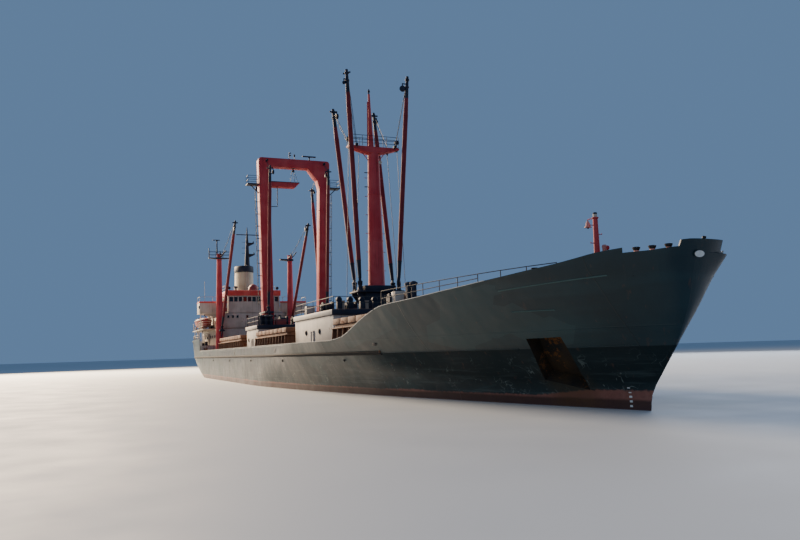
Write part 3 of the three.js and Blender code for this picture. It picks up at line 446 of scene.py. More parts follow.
def slab(axis, outline, low, high, bevel=0.0, finish=0):
    """A plate cut to an outline in two axes, between two places on the third."""
    rings = []
    for here in sorted((low, high)):
        ring = [list(pair) for pair in outline]
        for point in ring:
            point.insert(axis, here)
        rings.append(ring)
    lofted(rings, finish)
    round_edges(bevel)


def beam(start, end, side, wide, deep, bevel=0.0, finish=0):
    """A square bar from one point to another; side is the direction of its width."""
    start, end, side = Vector(start), Vector(end), Vector(side).normalized()
    up = (end - start).cross(side).normalized()
    corners = ((-1, -1), (1, -1), (1, 1), (-1, 1))
    rings = [[place + side * a * wide / 2 + up * b * deep / 2 for a, b in corners] for place in (start, end)]
    lofted(rings, finish)
    round_edges(bevel)


def panel(middle, out, wide, high, deep=0.1, rim=0.05, sink=0.04, finish=0, inner=1):
    """A block whose outer face is inset and pressed in: a window with its glass, or a door with its leaf."""
    set_apart()
    out = Vector(out)
    size = Vector([abs(out[i]) * deep + (1 - abs(out[i])) * wide for i in (0, 1)] + [high])
    bpy.ops.mesh.primitive_cube_add(size=1, location=put(middle), scale=size * K)
    take(finish)
    bpy.ops.mesh.select_mode(type="FACE")
    bpy.ops.mesh.select_all(action="DESELECT")
    sheet = bmesh.from_edit_mesh(bpy.context.object.data)
    for face in sheet.faces:
        if not face.hide and face.normal.dot(out) > 0.9:
            face.select_set(True)
    bpy.ops.mesh.inset(thickness=rim * K, depth=0)
    bpy.ops.mesh.inset(thickness=rim * 0.25 * K, depth=-sink * K)
    bpy.context.object.active_material_index = inner
    bpy.ops.object.material_slot_assign()
    bpy.ops.mesh.select_mode(type="VERT")


def ring(middle, axis, radius, thick, finish=0, sides=20):
    """A round ring, such as a lifebuoy or a porthole's rim."""
    set_apart()
    turn = Vector(axis).to_track_quat("Z", "Y").to_euler()
    bpy.ops.mesh.primitive_torus_add(location=put(middle), rotation=turn, major_segments=sides,
                                     minor_segments=8, major_radius=radius * K, minor_radius=thick * K)
    take(finish)


def porthole(middle, out, radius, finish, glass):
    """A round light: a ring proud of the wall and glass inside it."""
    middle, out = Vector(middle), Vector(out)
    ring(middle + out * 0.03, out, radius, 0.035, finish, 16)
    turned(middle - out * 0.02, out, [(0, radius), (0.035, radius)], 16, glass)


def steel_door(middle, out):
    """A weathertight door: frame, pressed leaf, dogs and hinges."""
    middle, out = Vector(middle), Vector(out)
    side = Vector((-out.y, out.x, 0))
    panel(middle, out, 0.82, 1.75, 0.16, 0.09, 0.05, 0, 0)
    for z in (-0.55, 0.0, 0.55):
        here = middle + out * 0.08 + Vector((0, 0, z))
        rod(here + side * 0.2, here + side * 0.36, 0.03, 8)
        beam(here - side * 0.42, here - side * 0.2, out, 0.04, 0.08, 0.01)


def hanging_block(place, axis, radius=0.2, thick=0.2, finish=0):
    """A sheave block: two cheeks and the sheave between them, under a shackle."""
    place, axis = Vector(place), Vector(axis).normalized()
    shares = ((0, 0.7), (0.1, 1), (0.32, 1), (0.36, 0.8), (0.64, 0.8), (0.68, 1), (0.9, 1), (1, 0.7))
    turned(place - axis * thick / 2, axis, [(thick * a, radius * b) for a, b in shares], 14, finish)
    rod(place + Vector((0, 0, radius * 0.6)), place + Vector((0, 0, radius + 0.22)), 0.05, 8, finish)


def guard_runs(line, height=1.0, shares=(0.36, 0.68, 1.0), pitch=1.5):
    """Paths for a guard rail along a line of deck points: its bars and its stanchions."""
    paths = [[(x, y, z + height * share) for x, y, z in line] for share in shares]
    for a, b in zip(line, line[1:]):
        a, b = Vector(a), Vector(b)
        count = max(1, round((b - a).length / pitch))
        for i in range(count + 1):
            foot = a.lerp(b, i / count)
            paths.append([tuple(foot), (foot.x, foot.y, foot.z + height)])
    return paths


def ladder_runs(foot, head, side, wide=0.42, pitch=0.3):
    """Paths for a ladder: two strings and the rungs between them."""
    foot, head, side = Vector(foot), Vector(head), Vector(side).normalized() * wide / 2
    paths = [[tuple(foot + side), tuple(head + side)], [tuple(foot - side), tuple(head - side)]]
    count = round((head - foot).length / pitch)
    for i in range(1, count):
        here = foot.lerp(head, i / count)
        paths.append([tuple(here - side), tuple(here + side)])
    return paths


def close(piece, body=SHIP, replaces=(), angle=32):
    """Closes the piece, smooths its faces up to an angle, and lets it ride on its body."""
    bpy.ops.mesh.reveal()
    bpy.ops.object.mode_set(mode="OBJECT")
    bpy.ops.object.shade_smooth_by_angle(angle=math.radians(angle))
    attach(piece, body)
    if replaces:
        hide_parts(*replaces)


def bars(name, paths, radius, material, body=SHIP):
    """Thin round bars or wires along paths: curves with a round section, made a mesh."""
    bpy.ops.object.select_all(action="DESELECT")
    curve = bpy.data.curves.new(name, "CURVE")
    curve.dimensions = "3D"
    curve.bevel_depth = radius * K
    curve.bevel_resolution = 1
    curve.use_fill_caps = True
    curve.materials.append(material)
    for path in paths:
        spline = curve.splines.new("POLY")
        spline.points.add(len(path) - 1)
        for point, place in zip(spline.points, path):
            point.co = (*put(place), 1)
    piece = bpy.data.objects.new(name, curve)
    bpy.context.collection.objects.link(piece)
    bpy.context.view_layer.objects.active = piece
    piece.select_set(True)
    bpy.ops.object.convert(target="MESH")
    piece = bpy.context.object
    bpy.ops.object.shade_smooth_by_angle(angle=math.radians(60))
    if body:
        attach(piece, body)
    return piece


# Hull lines

# One row for each waterline: height, half breadth, stern, run, fullness of the run, stem, entry, fullness.
HULL_ROWS = (
    (-5.8, 6.2, -45.2, 42, 0.85, 47.4, 50, 0.85),
    (-5.5, 7.05, -45.4, 41, 0.88, 47.8, 49.5, 0.87),
    (-5.0, 7.5, -45.7, 40, 0.9, 48.1, 49, 0.9),
    (-4.3, 7.7, -46.0, 38, 0.92, 48.4, 48.5, 0.92),
    (-3.0, 7.7, -46.3, 36, 0.95, 48.7, 48, 0.95),
    (-1.9, 7.7, -46.6, 33, 1.0, 48.8, 47.5, 0.97),
    (-1.3, 7.7, -47.6, 30, 1.1, 48.9, 47, 0.98),
    (-0.8, 7.7, -49.6, 28, 1.3, 48.9, 46.5, 0.99),
    (-0.4, 7.7, -50.7, 26, 1.5, 49.0, 46.2, 1.0),
    (0.0, 7.7, -51.5, 24, 1.7, 49.0, 46, 1.0),
    (0.66, 7.7, -52.2, 21, 1.9, 49.13, 45, 1.05),
    (1.56, 7.7, -52.8, 18, 2.3, 49.8, 42.5, 1.25),
    (2.7, 7.7, -53.3, 15, 2.7, 50.67, 38.37, 1.45),
    (4.16, 7.7, -53.5, 13.5, 2.9, 51.47, 31.9, 1.8),
    (5.2, 7.7, -53.6, 13, 3.0, 51.79, 27.87, 2.08),
    (6.08, 7.7, -53.6, 13, 3.0, 52.07, 24.94, 2.32),
    (6.9, 7.7, -53.6, 13, 3.0, 52.33, 24.9, 2.4),
)
# How full the curve is by which a waterline closes in at its ends.
TAPER = 1.55
# The rail: places along the ship and its height there, and the low rail at the bow.
SHEER = (
    (26.6, 3.6), (28.6, 3.79), (30.1, 4.12), (31.1, 4.39), (33.2, 4.91), (35.5, 5.32), (37.5, 5.42),
    (39.5, 5.51), (41.2, 5.61), (42.9, 5.71), (44.2, 5.8), (45.5, 5.89), (46.8, 6.0), (48.3, 6.14),
    (49.4, 6.3), (50.0, 6.41), (50.95, 6.52),
)
LOW_RAIL = ((50.95, 6.32), (51.6, 6.35), (52.12, 6.47))
MAIN_DECK, POOP_DECK, BREAK, POOP_END = 2.7, 4.3, 34.4, -33.9
MAST_HOUSE_TOP = 6.04
# How far aft the raised plate at the stem reaches, to starboard and to port.
PLATE_END = {-1: 52.1, 1: 51.78}


def smooth_curve(points):
    """A smooth curve through (x, y) points that doesn't overshoot them."""
    xs, ys = zip(*points)
    steps = [(ys[i + 1] - ys[i]) / (xs[i + 1] - xs[i]) for i in range(len(xs) - 1)]
    inner = [0.0 if a * b <= 0 else 2 * a * b / (a + b) for a, b in zip(steps, steps[1:])]
    slopes = [steps[0], *inner, steps[-1]]

    def at(x):
        if x <= xs[0]:
            return ys[0]
        if x >= xs[-1]:
            return ys[-1]
        i = max(k for k in range(len(xs) - 1) if xs[k] <= x)
        wide = xs[i + 1] - xs[i]
        t = (x - xs[i]) / wide
        return (ys[i] * (1 + 2 * t) * (1 - t) ** 2 + ys[i + 1] * t * t * (3 - 2 * t)
                + wide * (slopes[i] * t * (1 - t) ** 2 - slopes[i + 1] * t * t * (1 - t)))
    return at


ROW_CURVES = [smooth_curve([(row[0], row[k]) for row in HULL_ROWS]) for k in range(1, 8)]
SHEER_CURVE = smooth_curve(SHEER)
LOW_RAIL_CURVE = smooth_curve(LOW_RAIL)


def waterline(z):
    """What HULL_ROWS gives for a height, after the height itself."""
    return [curve(z) for curve in ROW_CURVES]


def half_breadth(x, z, grow=0.0):
    """Half the ship's breadth at a place, to the plating or to a surface grown off it."""
    half, stern, run, run_full, stem, entry, entry_full = waterline(z)
    half, stern, stem = half + grow, stern - grow, stem + grow
    if x <= stern or x >= stem:
        return 0.0
    aft = (x - stern) / run
    fore = (stem - x) / entry
    wide = half
    if aft < 1:
        wide = half * (1 - (1 - aft) ** TAPER) ** (1 / run_full)
    if fore < 1:
        wide = min(wide, half * (1 - (1 - fore) ** TAPER) ** (1 / entry_full))
    return wide


def rail_top(x, s=-1):
    """The height of the rail; the raised plate at the stem reaches further aft to port."""
    if x < POOP_END:
        return 5.3
    if x > PLATE_END[s]:
        return 6.76 - (52.17 - x) * (0.8 if s < 0 else -0.08)
    if x > 50.95:
        return LOW_RAIL_CURVE(x)
    return SHEER_CURVE(x)


def deck_height(x):
    """The height of the uppermost deck: poop, main deck or forecastle."""
    if x < POOP_END:
        return POOP_DECK
    if x > BREAK:
        return 4.9 + (x - BREAK) / 19.0 * 0.6
    return MAIN_DECK


FORE_END, AFT_END = 36.0, -34.6
STEM_TOP, STERN_TOP = 52.33, -53.6


def lean(station, z, grow=0.0):
    """Where a station's column stands at a height: upright amidships, raked with the stem and the stern."""
    row = waterline(z)
    if station > FORE_END:
        return FORE_END + (station - FORE_END) * (row[4] + grow - FORE_END) / (STEM_TOP - FORE_END)
    if station < AFT_END:
        return AFT_END + (station - AFT_END) * (row[1] - grow - AFT_END) / (STERN_TOP - AFT_END)
    return station


def stations():
    """Columns of the hull from stern to stem, close together at the ends and doubled where the rail steps."""
    aft = [STERN_TOP + (AFT_END - STERN_TOP) * (i / 26) ** 1.9 for i in range(26)]
    middle = [AFT_END + (FORE_END - AFT_END) * i / 40 for i in range(41)]
    fore = [STEM_TOP - (STEM_TOP - FORE_END) * (i / 44) ** 1.9 for i in range(43, -1, -1)]
    steps = [x + d for x in (POOP_END, BREAK) for d in (-0.006, 0.006)]
    for x in (LOW_RAIL[0][0], *PLATE_END.values()):
        top = FORE_END + (x - FORE_END) * (STEM_TOP - FORE_END) / (waterline(6.4)[4] - FORE_END)
        steps += [top - 0.006, top + 0.006]
    curve = [26.8 + 0.55 * i for i in range(1, 16)]
    every = sorted(aft + middle + fore + steps + curve)
    return [x for i, x in enumerate(every) if i == 0 or x - every[i - 1] > 0.004]


SIDE_LEVELS = (-5.65, -5.5, -5.25, -5.0, -4.65, -4.3, -3.65, -3.0, -2.45, -1.9, -1.6, -1.3, -1.05, -0.8,
               -0.6, -0.4, -0.2, 0.0, 0.33, 0.66, 1.1, 1.56, 2.1, 2.7)
UPPER_SHARES = (0.1, 0.22, 0.35, 0.48, 0.61, 0.74, 0.86, 1.0)
PLATE = 0.08


def hull_column(station, s):
    """One section of the hull from keel to rail, over the rail and down inside, then across the deck."""
    here = lean(station, 6.4)
    top = rail_top(here, s)
    deck = deck_height(here)
    flat = half_breadth(lean(station, -5.8), -5.8)
    points = [(lean(station, -5.8), flat * share, -5.8) for share in (0.0, 0.5, 1.0)]
    levels = list(SIDE_LEVELS) + [MAIN_DECK + share * (top - MAIN_DECK) for share in UPPER_SHARES]
    for z in levels:
        x = lean(station, z)
        points.append((x, half_breadth(x, z), z))
    for z in (top, (top * 2 + deck) / 3, (top + deck * 2) / 3, deck + 0.01):
        x = lean(station, z, -PLATE)
        points.append((x, half_breadth(x, z, -PLATE), z))
    edge = points[-1]
    for share in (0.75, 0.5, 0.25, 0.0):
        points.append((edge[0], edge[1] * share, deck + 0.01 + 0.12 * (1 - share ** 2) * min(1, edge[1] / 5)))
    return [(x, s * y, z) for x, y, z in points]


ANCHOR_POCKET = ((44.65, 3.17), (44.02, 1.23), (46.18, 0.8), (46.52, 3.19))


def pocket_cutter(s):
    """The anchor's recess as a closed six-sided form across the flared plating."""
    outside = [Vector((x, s * half_breadth(x, z), z)) for x, z in ANCHOR_POCKET]
    out = (outside[3] - outside[0]).cross(outside[1] - outside[0]).normalized()
    out = -out if out.y * s < 0 else out
    return [[p - out * 0.75 for p in outside], [p + out * 0.5 for p in outside]]


def make_hull():
    """The hull: two sides sewn along the middle, inside and decks painted by place, anchor recesses cut."""
    finishes = (HULL, BULWARK_INSIDE, DECK, POCKET)
    hull = begin("hull_plating", *finishes)
    for s in (1, -1):
        lofted([hull_column(station, s) for station in stations()], closed=False)
    bpy.ops.mesh.reveal()
    sheet = bmesh.from_edit_mesh(hull.data)
    bpy.ops.mesh.select_all(action="SELECT")
    bpy.ops.mesh.remove_doubles(threshold=2e-5)
    face_outward()
    for face in sheet.faces:
        middle = face.calc_center_median() / K
        if middle.z < MAIN_DECK or middle.z > rail_top(middle.x, 1 if middle.y > 0 else -1) - 0.02:
            continue
        if middle.x > 50.6 and abs(face.normal.x) > 0.9 and middle.z > 6.1:
            continue
        if abs(middle.y) < half_breadth(middle.x, middle.z, -PLATE / 2):
            face.material_index = 2 if face.normal.z > 0.85 else 1
    bmesh.update_edit_mesh(hull.data)
    bpy.ops.object.mode_set(mode="OBJECT")
    for s in (-1, 1):
        cutter = begin("pocket", *finishes)
        lofted(pocket_cutter(s), 3)
        bpy.ops.mesh.reveal()
        bpy.ops.object.mode_set(mode="OBJECT")
        bpy.ops.object.select_all(action="DESELECT")
        bpy.context.view_layer.objects.active = hull
        hull.select_set(True)
        cut = hull.modifiers.new("pocket", "BOOLEAN")
        cut.operation = "DIFFERENCE"
        cut.solver = "EXACT"
        cut.object = cutter
        bpy.ops.object.modifier_apply(modifier=cut.name)
        bpy.data.objects.remove(cutter)
    bpy.ops.object.mode_set(mode="EDIT")
    close(hull, replaces=["hull", "forecastle", "poop", "bulwark_starboard", "bulwark_port",
                                        "bow_bulwark_starboard", "bow_bulwark_port"], angle=28)


# Hull fittings

KNUCKLE = 2.7
RUBBER_END = 32.3


def side_strip(s, start, end, steps, low, rise, section, finish):
    """A strip laid on the side's plating: a section of (height, distance out) pairs, whose level is low at
    the start and climbs by rise for each metre."""
    rings = []
    for x in spaced(start, end, steps):
        level = low + rise * (x - start)
        rings.append([(x, s * half_breadth(x, level + high, out), level + high) for high, out in section])
    lofted(rings, finish)


def side_turn(s, x, z):
    """How far the side's plating is turned from the ship's length at a place."""
    return s * math.atan2(half_breadth(x + 0.2, z) - half_breadth(x - 0.2, z), 0.4)


def make_rail_caps():
    """The flat bar along the top of the bulwarks."""
    piece = begin("bulwark_rail_caps", RAIL_PAINT)
    inner = -PLATE - 0.09
    for s in (-1, 1):
        for start, end, steps in ((-33.6, BREAK - 0.1, 60), (BREAK + 0.1, 44.6, 30)):
            rings = []
            for x in spaced(start, end, steps):
                top = rail_top(x)
                half = half_breadth(x, top)
                section = ((0.02, -0.01), (0.02, 0.02), (inner, 0.02), (inner, -0.01))
                rings.append([(x, s * (half + out), top + high) for out, high in section])
            lofted(rings)
    close(piece, angle=40)


def make_strake():
    """The fender along the knuckle, rubber aft and a slight half-round of steel forward; two beads of weld
    above it on each side of the bow, painted lighter as a highlight; and a lip at the stem."""
    piece = begin("knuckle_strake", RUBBER, HULL, BEAD_HIGHLIGHT)
    fender = ((-0.12, -0.03), (-0.1, 0.05), (-0.05, 0.09), (0.05, 0.09), (0.1, 0.05), (0.12, -0.03))
    bead = ((-0.035, -0.02), (-0.02, 0.018), (0.02, 0.018), (0.035, -0.02))
    # Start, end, size and finish of each stretch.
    stretches = ((-53.0, RUBBER_END, 1.0, 0), (RUBBER_END, 43.8, 0.4, 1), (46.7, 49.6, 0.4, 1))
    for s in (-1, 1):
        for start, end, size, finish in stretches:
            section = [(high * size, out * size if out > 0 else out) for high, out in fender]
            side_strip(s, start, end, 60, KNUCKLE, 0.0, section, finish)
        for end, low, rise in ((50.1, 5.32, 0.04), (47.2, 4.38, -0.02)):
            # The beads take the lighter paint, a painted highlight.
            side_strip(s, 45.0, end, 24, low, rise, bead, 2)
    # The flare's own edge stands out past the raised plate, on the port side of the stem.
    lip = ((5.2, -0.04), (5.4, 0.01), (5.8, 0.08), (6.2, 0.19), (6.26, 0.19), (6.27, -0.05))
    rings = []
    for i in range(13):
        x = 52.1 - 0.075 * i
        way = Vector((0, -1, 0))
        if i:
            way = Vector((0.05, half_breadth(x + 0.025, 6.2) - half_breadth(x - 0.025, 6.2), 0))
        out = way.cross(Vector((0, 0, -1))).normalized()
        share = math.sin(math.pi * min(1, i / 7) / 2) ** 2 * (1 - max(0, (i - 8) / 4.2))
        section = []
        for z, proud in lip:
            back = x - (6.2 - z) * 0.32
            section.append((back + out.x * proud * share, half_breadth(back, z) + out.y * proud * share, z))
        rings.append(section)
    lofted(rings, 1)
    close(piece, angle=35)


def make_side_openings():
    """Freeing ports and scuppers along the side, the oval plate at the stem, and the fairleads aft."""
    piece = begin("freeing_ports_and_scuppers", IRON)
    for s in (-1, 1):
        for x, z in ((-24, 3.05), (-6, 3.05), (13.1, 3.1), (RUBBER_END, 3.3)):
            y = half_breadth(x, z)
            box((x - 0.2, s * (y - 0.03), z - 0.16), (x + 0.2, s * (y + 0.012), z + 0.16), 0.008, 0,
                (0, 0, side_turn(s, x, z)))
        for x in (-21, -9, 3, 15, 27):
            ring((x, s * (half_breadth(x, 2.3) + 0.01), 2.3), (0, s, 0), 0.09, 0.035, 0, 12)
    close(piece, angle=40)
    fairleads = begin("panama_fairleads", IRON, MARK_WHITE, HULL)
    stem = Vector((waterline(6.2)[4] - 0.02, 0.15, 6.2))
    out = Vector((1, 0.12, -0.317)).normalized()
    side = Vector(UP).cross(out).normalized()
    up = out.cross(side)
    angles = spaced(0, math.tau, 24)[:-1]
    for wide, high, front, finish in ((0.3, 0.17, 0.035, 2), (0.26, 0.13, 0.06, 1)):
        oval = [side * wide * math.cos(a) + up * high * math.sin(a) for a in angles]
        lofted([[stem + out * depth + point for point in oval] for depth in (-0.1, front)], finish)
    for s in (-1, 1):
        for x in (-49.5, -42.0):
            z = rail_top(x) - 0.42
            slope = half_breadth(x + 0.4, z) - half_breadth(x - 0.4, z)
            ring((x, s * (half_breadth(x, z) - 0.02), z), (-slope * 1.25, s, -0.3), 0.2, 0.07, 0, 18)
    close(fairleads, angle=40)


def make_draught_marks():
    """Short welded bars where a ship carries her draught marks, without figures."""
    piece = begin("draught_mark_bars", MARK_WHITE)
    for s in (-1, 1):
        for i in range(5):
            x, z = 48.07 + 0.02 * i, 0.16 + 0.2 * i
            y = s * half_breadth(x, z, 0.004)
            pad(x, y, z - 0.045, 0.07, 0.012, 0.09, 0.01, 0, (0, 0, side_turn(s, x, z)))
    close(piece, angle=40)


def make_bow_gear():
    """Three roller fairleads behind the low rail on each side of the stem, and a post between them."""
    piece = begin("bow_roller_fairleads", IRON, ROLLER_PINK)
    post = [(0, 0.14), (0.04, 0.14), (0.05, 0.1), (0.25, 0.1)]
    roller = [(0, 0.11), (0.02, 0.12), (0.08, 0.15), (0.12, 0.158), (0.13, 0.14)]
    shelf = [(50.75, 2.22), (51.6, 1.42), (51.92, 0.86), (51.6, 0.78), (51.25, 1.2), (50.5, 1.95)]
    for s in (-1, 1):
        for x, y, z in ((51.12, 2.03, 6.53), (51.47, 1.55, 6.56), (51.8, 1.04, 6.6)):
            turned((x, s * y, z - 0.36), UP, post, 16, 1)
            turned((x, s * y, z - 0.13), UP, roller)
        # They stand on a shelf inside the bulwark, on three brackets.
        slab(2, [(x, s * y) for x, y in shelf], 6.13, 6.19)
        for x, y in ((50.82, 2.0), (51.3, 1.4), (51.62, 0.92)):
            beam((x, s * y, deck_height(x)), (x, s * y, 6.15), ALONG, 0.1, 0.1, 0.01)
    turned((52.05, 0.52, 6.62), UP, [(0, 0.05), (0.18, 0.05), (0.2, 0.08), (0.27, 0.08), (0.29, 0.04)], 12)
    close(piece, angle=40)


# Deck machinery

WINDLASS_X = 43.6
FOREMAST_X = 46.0


def winch(x, y, z):
    """A cargo winch: bed, drum, motor, gear case, its far bearing, brake and shaft."""
    shaft = z + 0.6
    pad(x, y, z, 0.72, 0.6, 0.12, 0.02)
    drum = [(0, 0.44), (0.07, 0.44), (0.08, 0.264), (0.72, 0.264), (0.73, 0.44), (0.8, 0.44)]
    turned((x, y - 0.42, shaft), ACROSS, drum, 20)
    turned((x, y - 0.34, shaft), ACROSS, [(0, 0.3), (0.06, 0.34), (0.58, 0.34), (0.64, 0.3)], 18, 1)
    case = [(-0.36, 0.1), (0.36, 0.1), (0.3, 0.95), (0.12, 1.08), (-0.2, 1.06), (-0.34, 0.8)]
    slab(1, moved(case, x, z), y + 0.4, y + 0.56, 0.03)
    bearing = [(-0.3, 0.1), (0.3, 0.1), (0.14, 0.8), (-0.14, 0.8)]
    slab(1, moved(bearing, x, z), y - 0.56, y - 0.47, 0.02)
    turned((x + 0.36, y + 0.1, z + 0.36), ACROSS, [(0, 0.1), (0.05, 0.17), (0.34, 0.17), (0.38, 0.12)], 14)
    rod((x, y - 0.6, shaft), (x, y + 0.6, shaft), 0.06)


def make_winches():
    """The cargo winches on the two mast houses."""
    rows = (("main_winches", 13.2, (-3.2, -1.1, 1.1, 3.2)), ("portal_winches", -10.0, (-1.5, 0.0, 1.5)))
    for name, x, ys in rows:
        piece = begin(name + "_fine", NAVY, WIRE)
        for y in ys:
            winch(x, y, MAST_HOUSE_TOP + 0.02)
        close(piece, replaces=[name])


def make_windlass():
    """The windlass: bed, shaft, and on each side a warping head, a chain wheel and its brake; the gear case
    and motor between them, and a chain stopper ahead of each wheel."""
    piece = begin("windlass_fine", NAVY, IRON)
    x = WINDLASS_X
    z = deck_height(x + 0.8) + 0.02
    deck = deck_height(x)
    shaft = z + 0.75
    box((x - 0.85, -2.3, z), (x + 0.85, 2.3, z + 0.16), 0.03)
    rod((x, -2.62, shaft), (x, 2.62, shaft), 0.12, 14)
    head = [(0, 0.34), (0.05, 0.34), (0.14, 0.24), (0.34, 0.22), (0.48, 0.3), (0.54, 0.34), (0.56, 0.2)]
    wheel = [(0, 0.52), (0.08, 0.52), (0.12, 0.36), (0.28, 0.3), (0.44, 0.36), (0.48, 0.5), (0.64, 0.52),
             (0.66, 0.3)]
    cheek = moved([(-0.5, 0.1), (0.5, 0.1), (0.2, 1.0), (-0.2, 1.0)], x, z)
    for s in (-1, 1):
        turned((x, s * 2.08, shaft), (0, s, 0), head, 18, 1)
        turned((x, s * 0.98, shaft), (0, s, 0), wheel, 22, 1)
        for y in (0.82, 1.86):
            slab(1, cheek, s * y, s * (y + 0.12), 0.03)
        ring((x, s * 1.56, shaft), ACROSS, 0.53, 0.035, 0, 24)
        rod((x - 0.55, s * 1.56, z + 0.2), (x - 0.52, s * 1.56, z + 1.35), 0.035)
        ring((x - 0.52, s * 1.56, z + 1.38), UP, 0.17, 0.022, 0, 14)
        box((x + 1.3, s * 1.15, deck + 0.02), (x + 2.0, s * 1.75, deck + 0.36), 0.04)
    case = [(-0.66, 0.1), (0.76, 0.1), (0.7, 0.9), (0.4, 1.24), (-0.3, 1.26), (-0.62, 0.9)]
    slab(1, moved(case, x, z), -0.6, 0.6, 0.06)
    turned((x - 0.5, -0.2, z + 1.2), ACROSS, [(0, 0.14), (0.05, 0.2), (0.5, 0.2), (0.56, 0.14)])
    close(piece, replaces=["windlass"])


def make_bollards():
    """Double bollards on their plates, and mushroom ventilators."""
    piece = begin("bollards_and_ventilators", NAVY)
    bollard = [(0, 0.17), (0.48, 0.16), (0.5, 0.2), (0.58, 0.2), (0.6, 0.14)]
    mushroom = [(0, 0.2), (0.05, 0.16), (0.72, 0.16), (0.73, 0.3), (0.86, 0.3), (0.96, 0.2), (1.0, 0.06)]
    for x in (46.6, 40.0, 36.4, -36.0, -46.5, -50.4):
        z = deck_height(x) + 0.02
        for s in (-1, 1):
            y = s * (half_breadth(x, deck_height(x)) - 1.2)
            pad(x, y, z, 0.62, 0.24, 0.06, 0.02)
            for step in (-0.36, 0.36):
                turned((x + step, y, z), UP, bollard, 14)
    for x, y in ((37.6, -1.8), (37.6, 1.8), (48.2, -0.9), (48.2, 0.9), (39.4, 0.0)):
        turned((x, y, deck_height(x) + 0.02), UP, mushroom)
    close(piece)


def make_foremast():
    """The short mast on the forecastle: a tube with a lamp, a bell, step irons and a vent pipe."""
    piece = begin("foremast_fine", MAST_RED, NAVY, ROLLER_PINK, WHITE)
    x = FOREMAST_X
    foot = deck_height(x + 0.3) + 0.02
    box((x - 0.3, -0.32, foot), (x + 0.3, 0.32, foot + 0.1), 0.02)
    mast = [(0, 0.22), (0.1, 0.17), (3.32, 0.115), (3.34, 0.16), (3.39, 0.16), (3.41, 0.1)]
    turned((x, 0, foot), UP, mast, 14)
    turned((x, 0, foot + 3.4), UP, [(0, 0.1), (0.14, 0.1), (0.16, 0.05)], 14, 3)
    turned((x, 0, foot + 3.55), UP, [(0, 0.1), (0.06, 0.1), (0.08, 0.06)], 14, 1)
    # The bell on its bracket.
    bell = [(0, 0.17), (0.03, 0.165), (0.1, 0.11), (0.24, 0.085), (0.28, 0.05), (0.34, 0.03)]
    turned((x - 0.58, 0, 8.3), UP, bell, 16, 2)
    turned((x - 0.58, 0, 8.24), UP, [(0, 0.03), (0.06, 0.05), (0.14, 0.02)], 10, 1)
    # A vent pipe with its bent head beside the mast.
    pipe = [(0, 0.16), (0.04, 0.1), (1.91, 0.1), (1.98, 0.12), (2.06, 0.08)]
    turned((x + 0.37, 0.14, foot), UP, pipe, 14, 2)
    mouth = [(0, 0.09), (0.14, 0.11), (0.2, 0.11), (0.24, 0.07)]
    turned((x + 0.37, 0.14, foot + 1.94), (0, 0.86, -0.08), mouth, 14)
    close(piece, replaces=["foremast"])
    irons = [[(45.9, 0, 8.66), (45.55, 0, 8.68), (45.44, 0, 8.68), (45.42, 0, 8.6)]]
    for i in range(7):
        z = foot + 0.5 + 0.42 * i
        side = 1 if i % 2 else -1
        irons.append([(x, side * 0.1, z), (x, side * 0.32, z), (x, side * 0.32, z + 0.05)])
    bars("foremast_step_irons", irons, 0.022, MAST_RED)


# Cargo deck

# Each hatch: its number, after end, fore end and count of pontoons.
HATCHES = ((1, 22.4, 32.4, 6), (2, -5.4, 8.0, 8), (3, -30.2, -14.6, 9))


def make_hatches():
    """Pontoon covers with their lifting pads, and the stays and bars of the coamings."""
    for number, aft, fore, count in HATCHES:
        cover = begin(f"hatch_{number}_pontoons", HATCH, IRON)
        half = (fore - aft + 0.24) / count / 2
        for i in range(count):
            x = aft - 0.12 + half * (2 * i + 1)
            pad(x, 0, 4.78, half - 0.02, 5.52, 0.42, 0.05)
            for y in (-4.4, -1.5, 1.5, 4.4):
                pad(x, y, 5.18, 0.12, 0.05, 0.07, 0.02, 1)
        close(cover, replaces=[f"hatch_{number}_cover"])
        coaming = begin(f"hatch_{number}_coaming_stays", HATCH)
        for s in (-1, 1):
            stay = mirrored([(5.38, 2.72), (5.78, 2.72), (5.62, 4.3), (5.62, 4.5), (5.38, 4.5)], s)
            for x in spaced(aft + 0.1, fore - 0.1, round((fore - aft) / 1.25)):
                slab(0, stay, x - 0.04, x + 0.04, 0.01)
            for y, half, low, high, past in ((5.52, 0.14, 4.48, 4.56, 0.12), (5.5, 0.1, 3.5, 3.56, 0.05)):
                box((aft - past, s * y - half, low), (fore + past, s * y + half, high), 0.02)
        for x in (aft - 0.08, fore + 0.08):
            pad(x, 0, 4.48, 0.14, 5.6, 0.08, 0.02)
            for y in (-4, -2, 0, 2, 4):
                pad(x, y, 2.72, 0.12, 0.04, 1.78, 0.01)
        close(coaming)


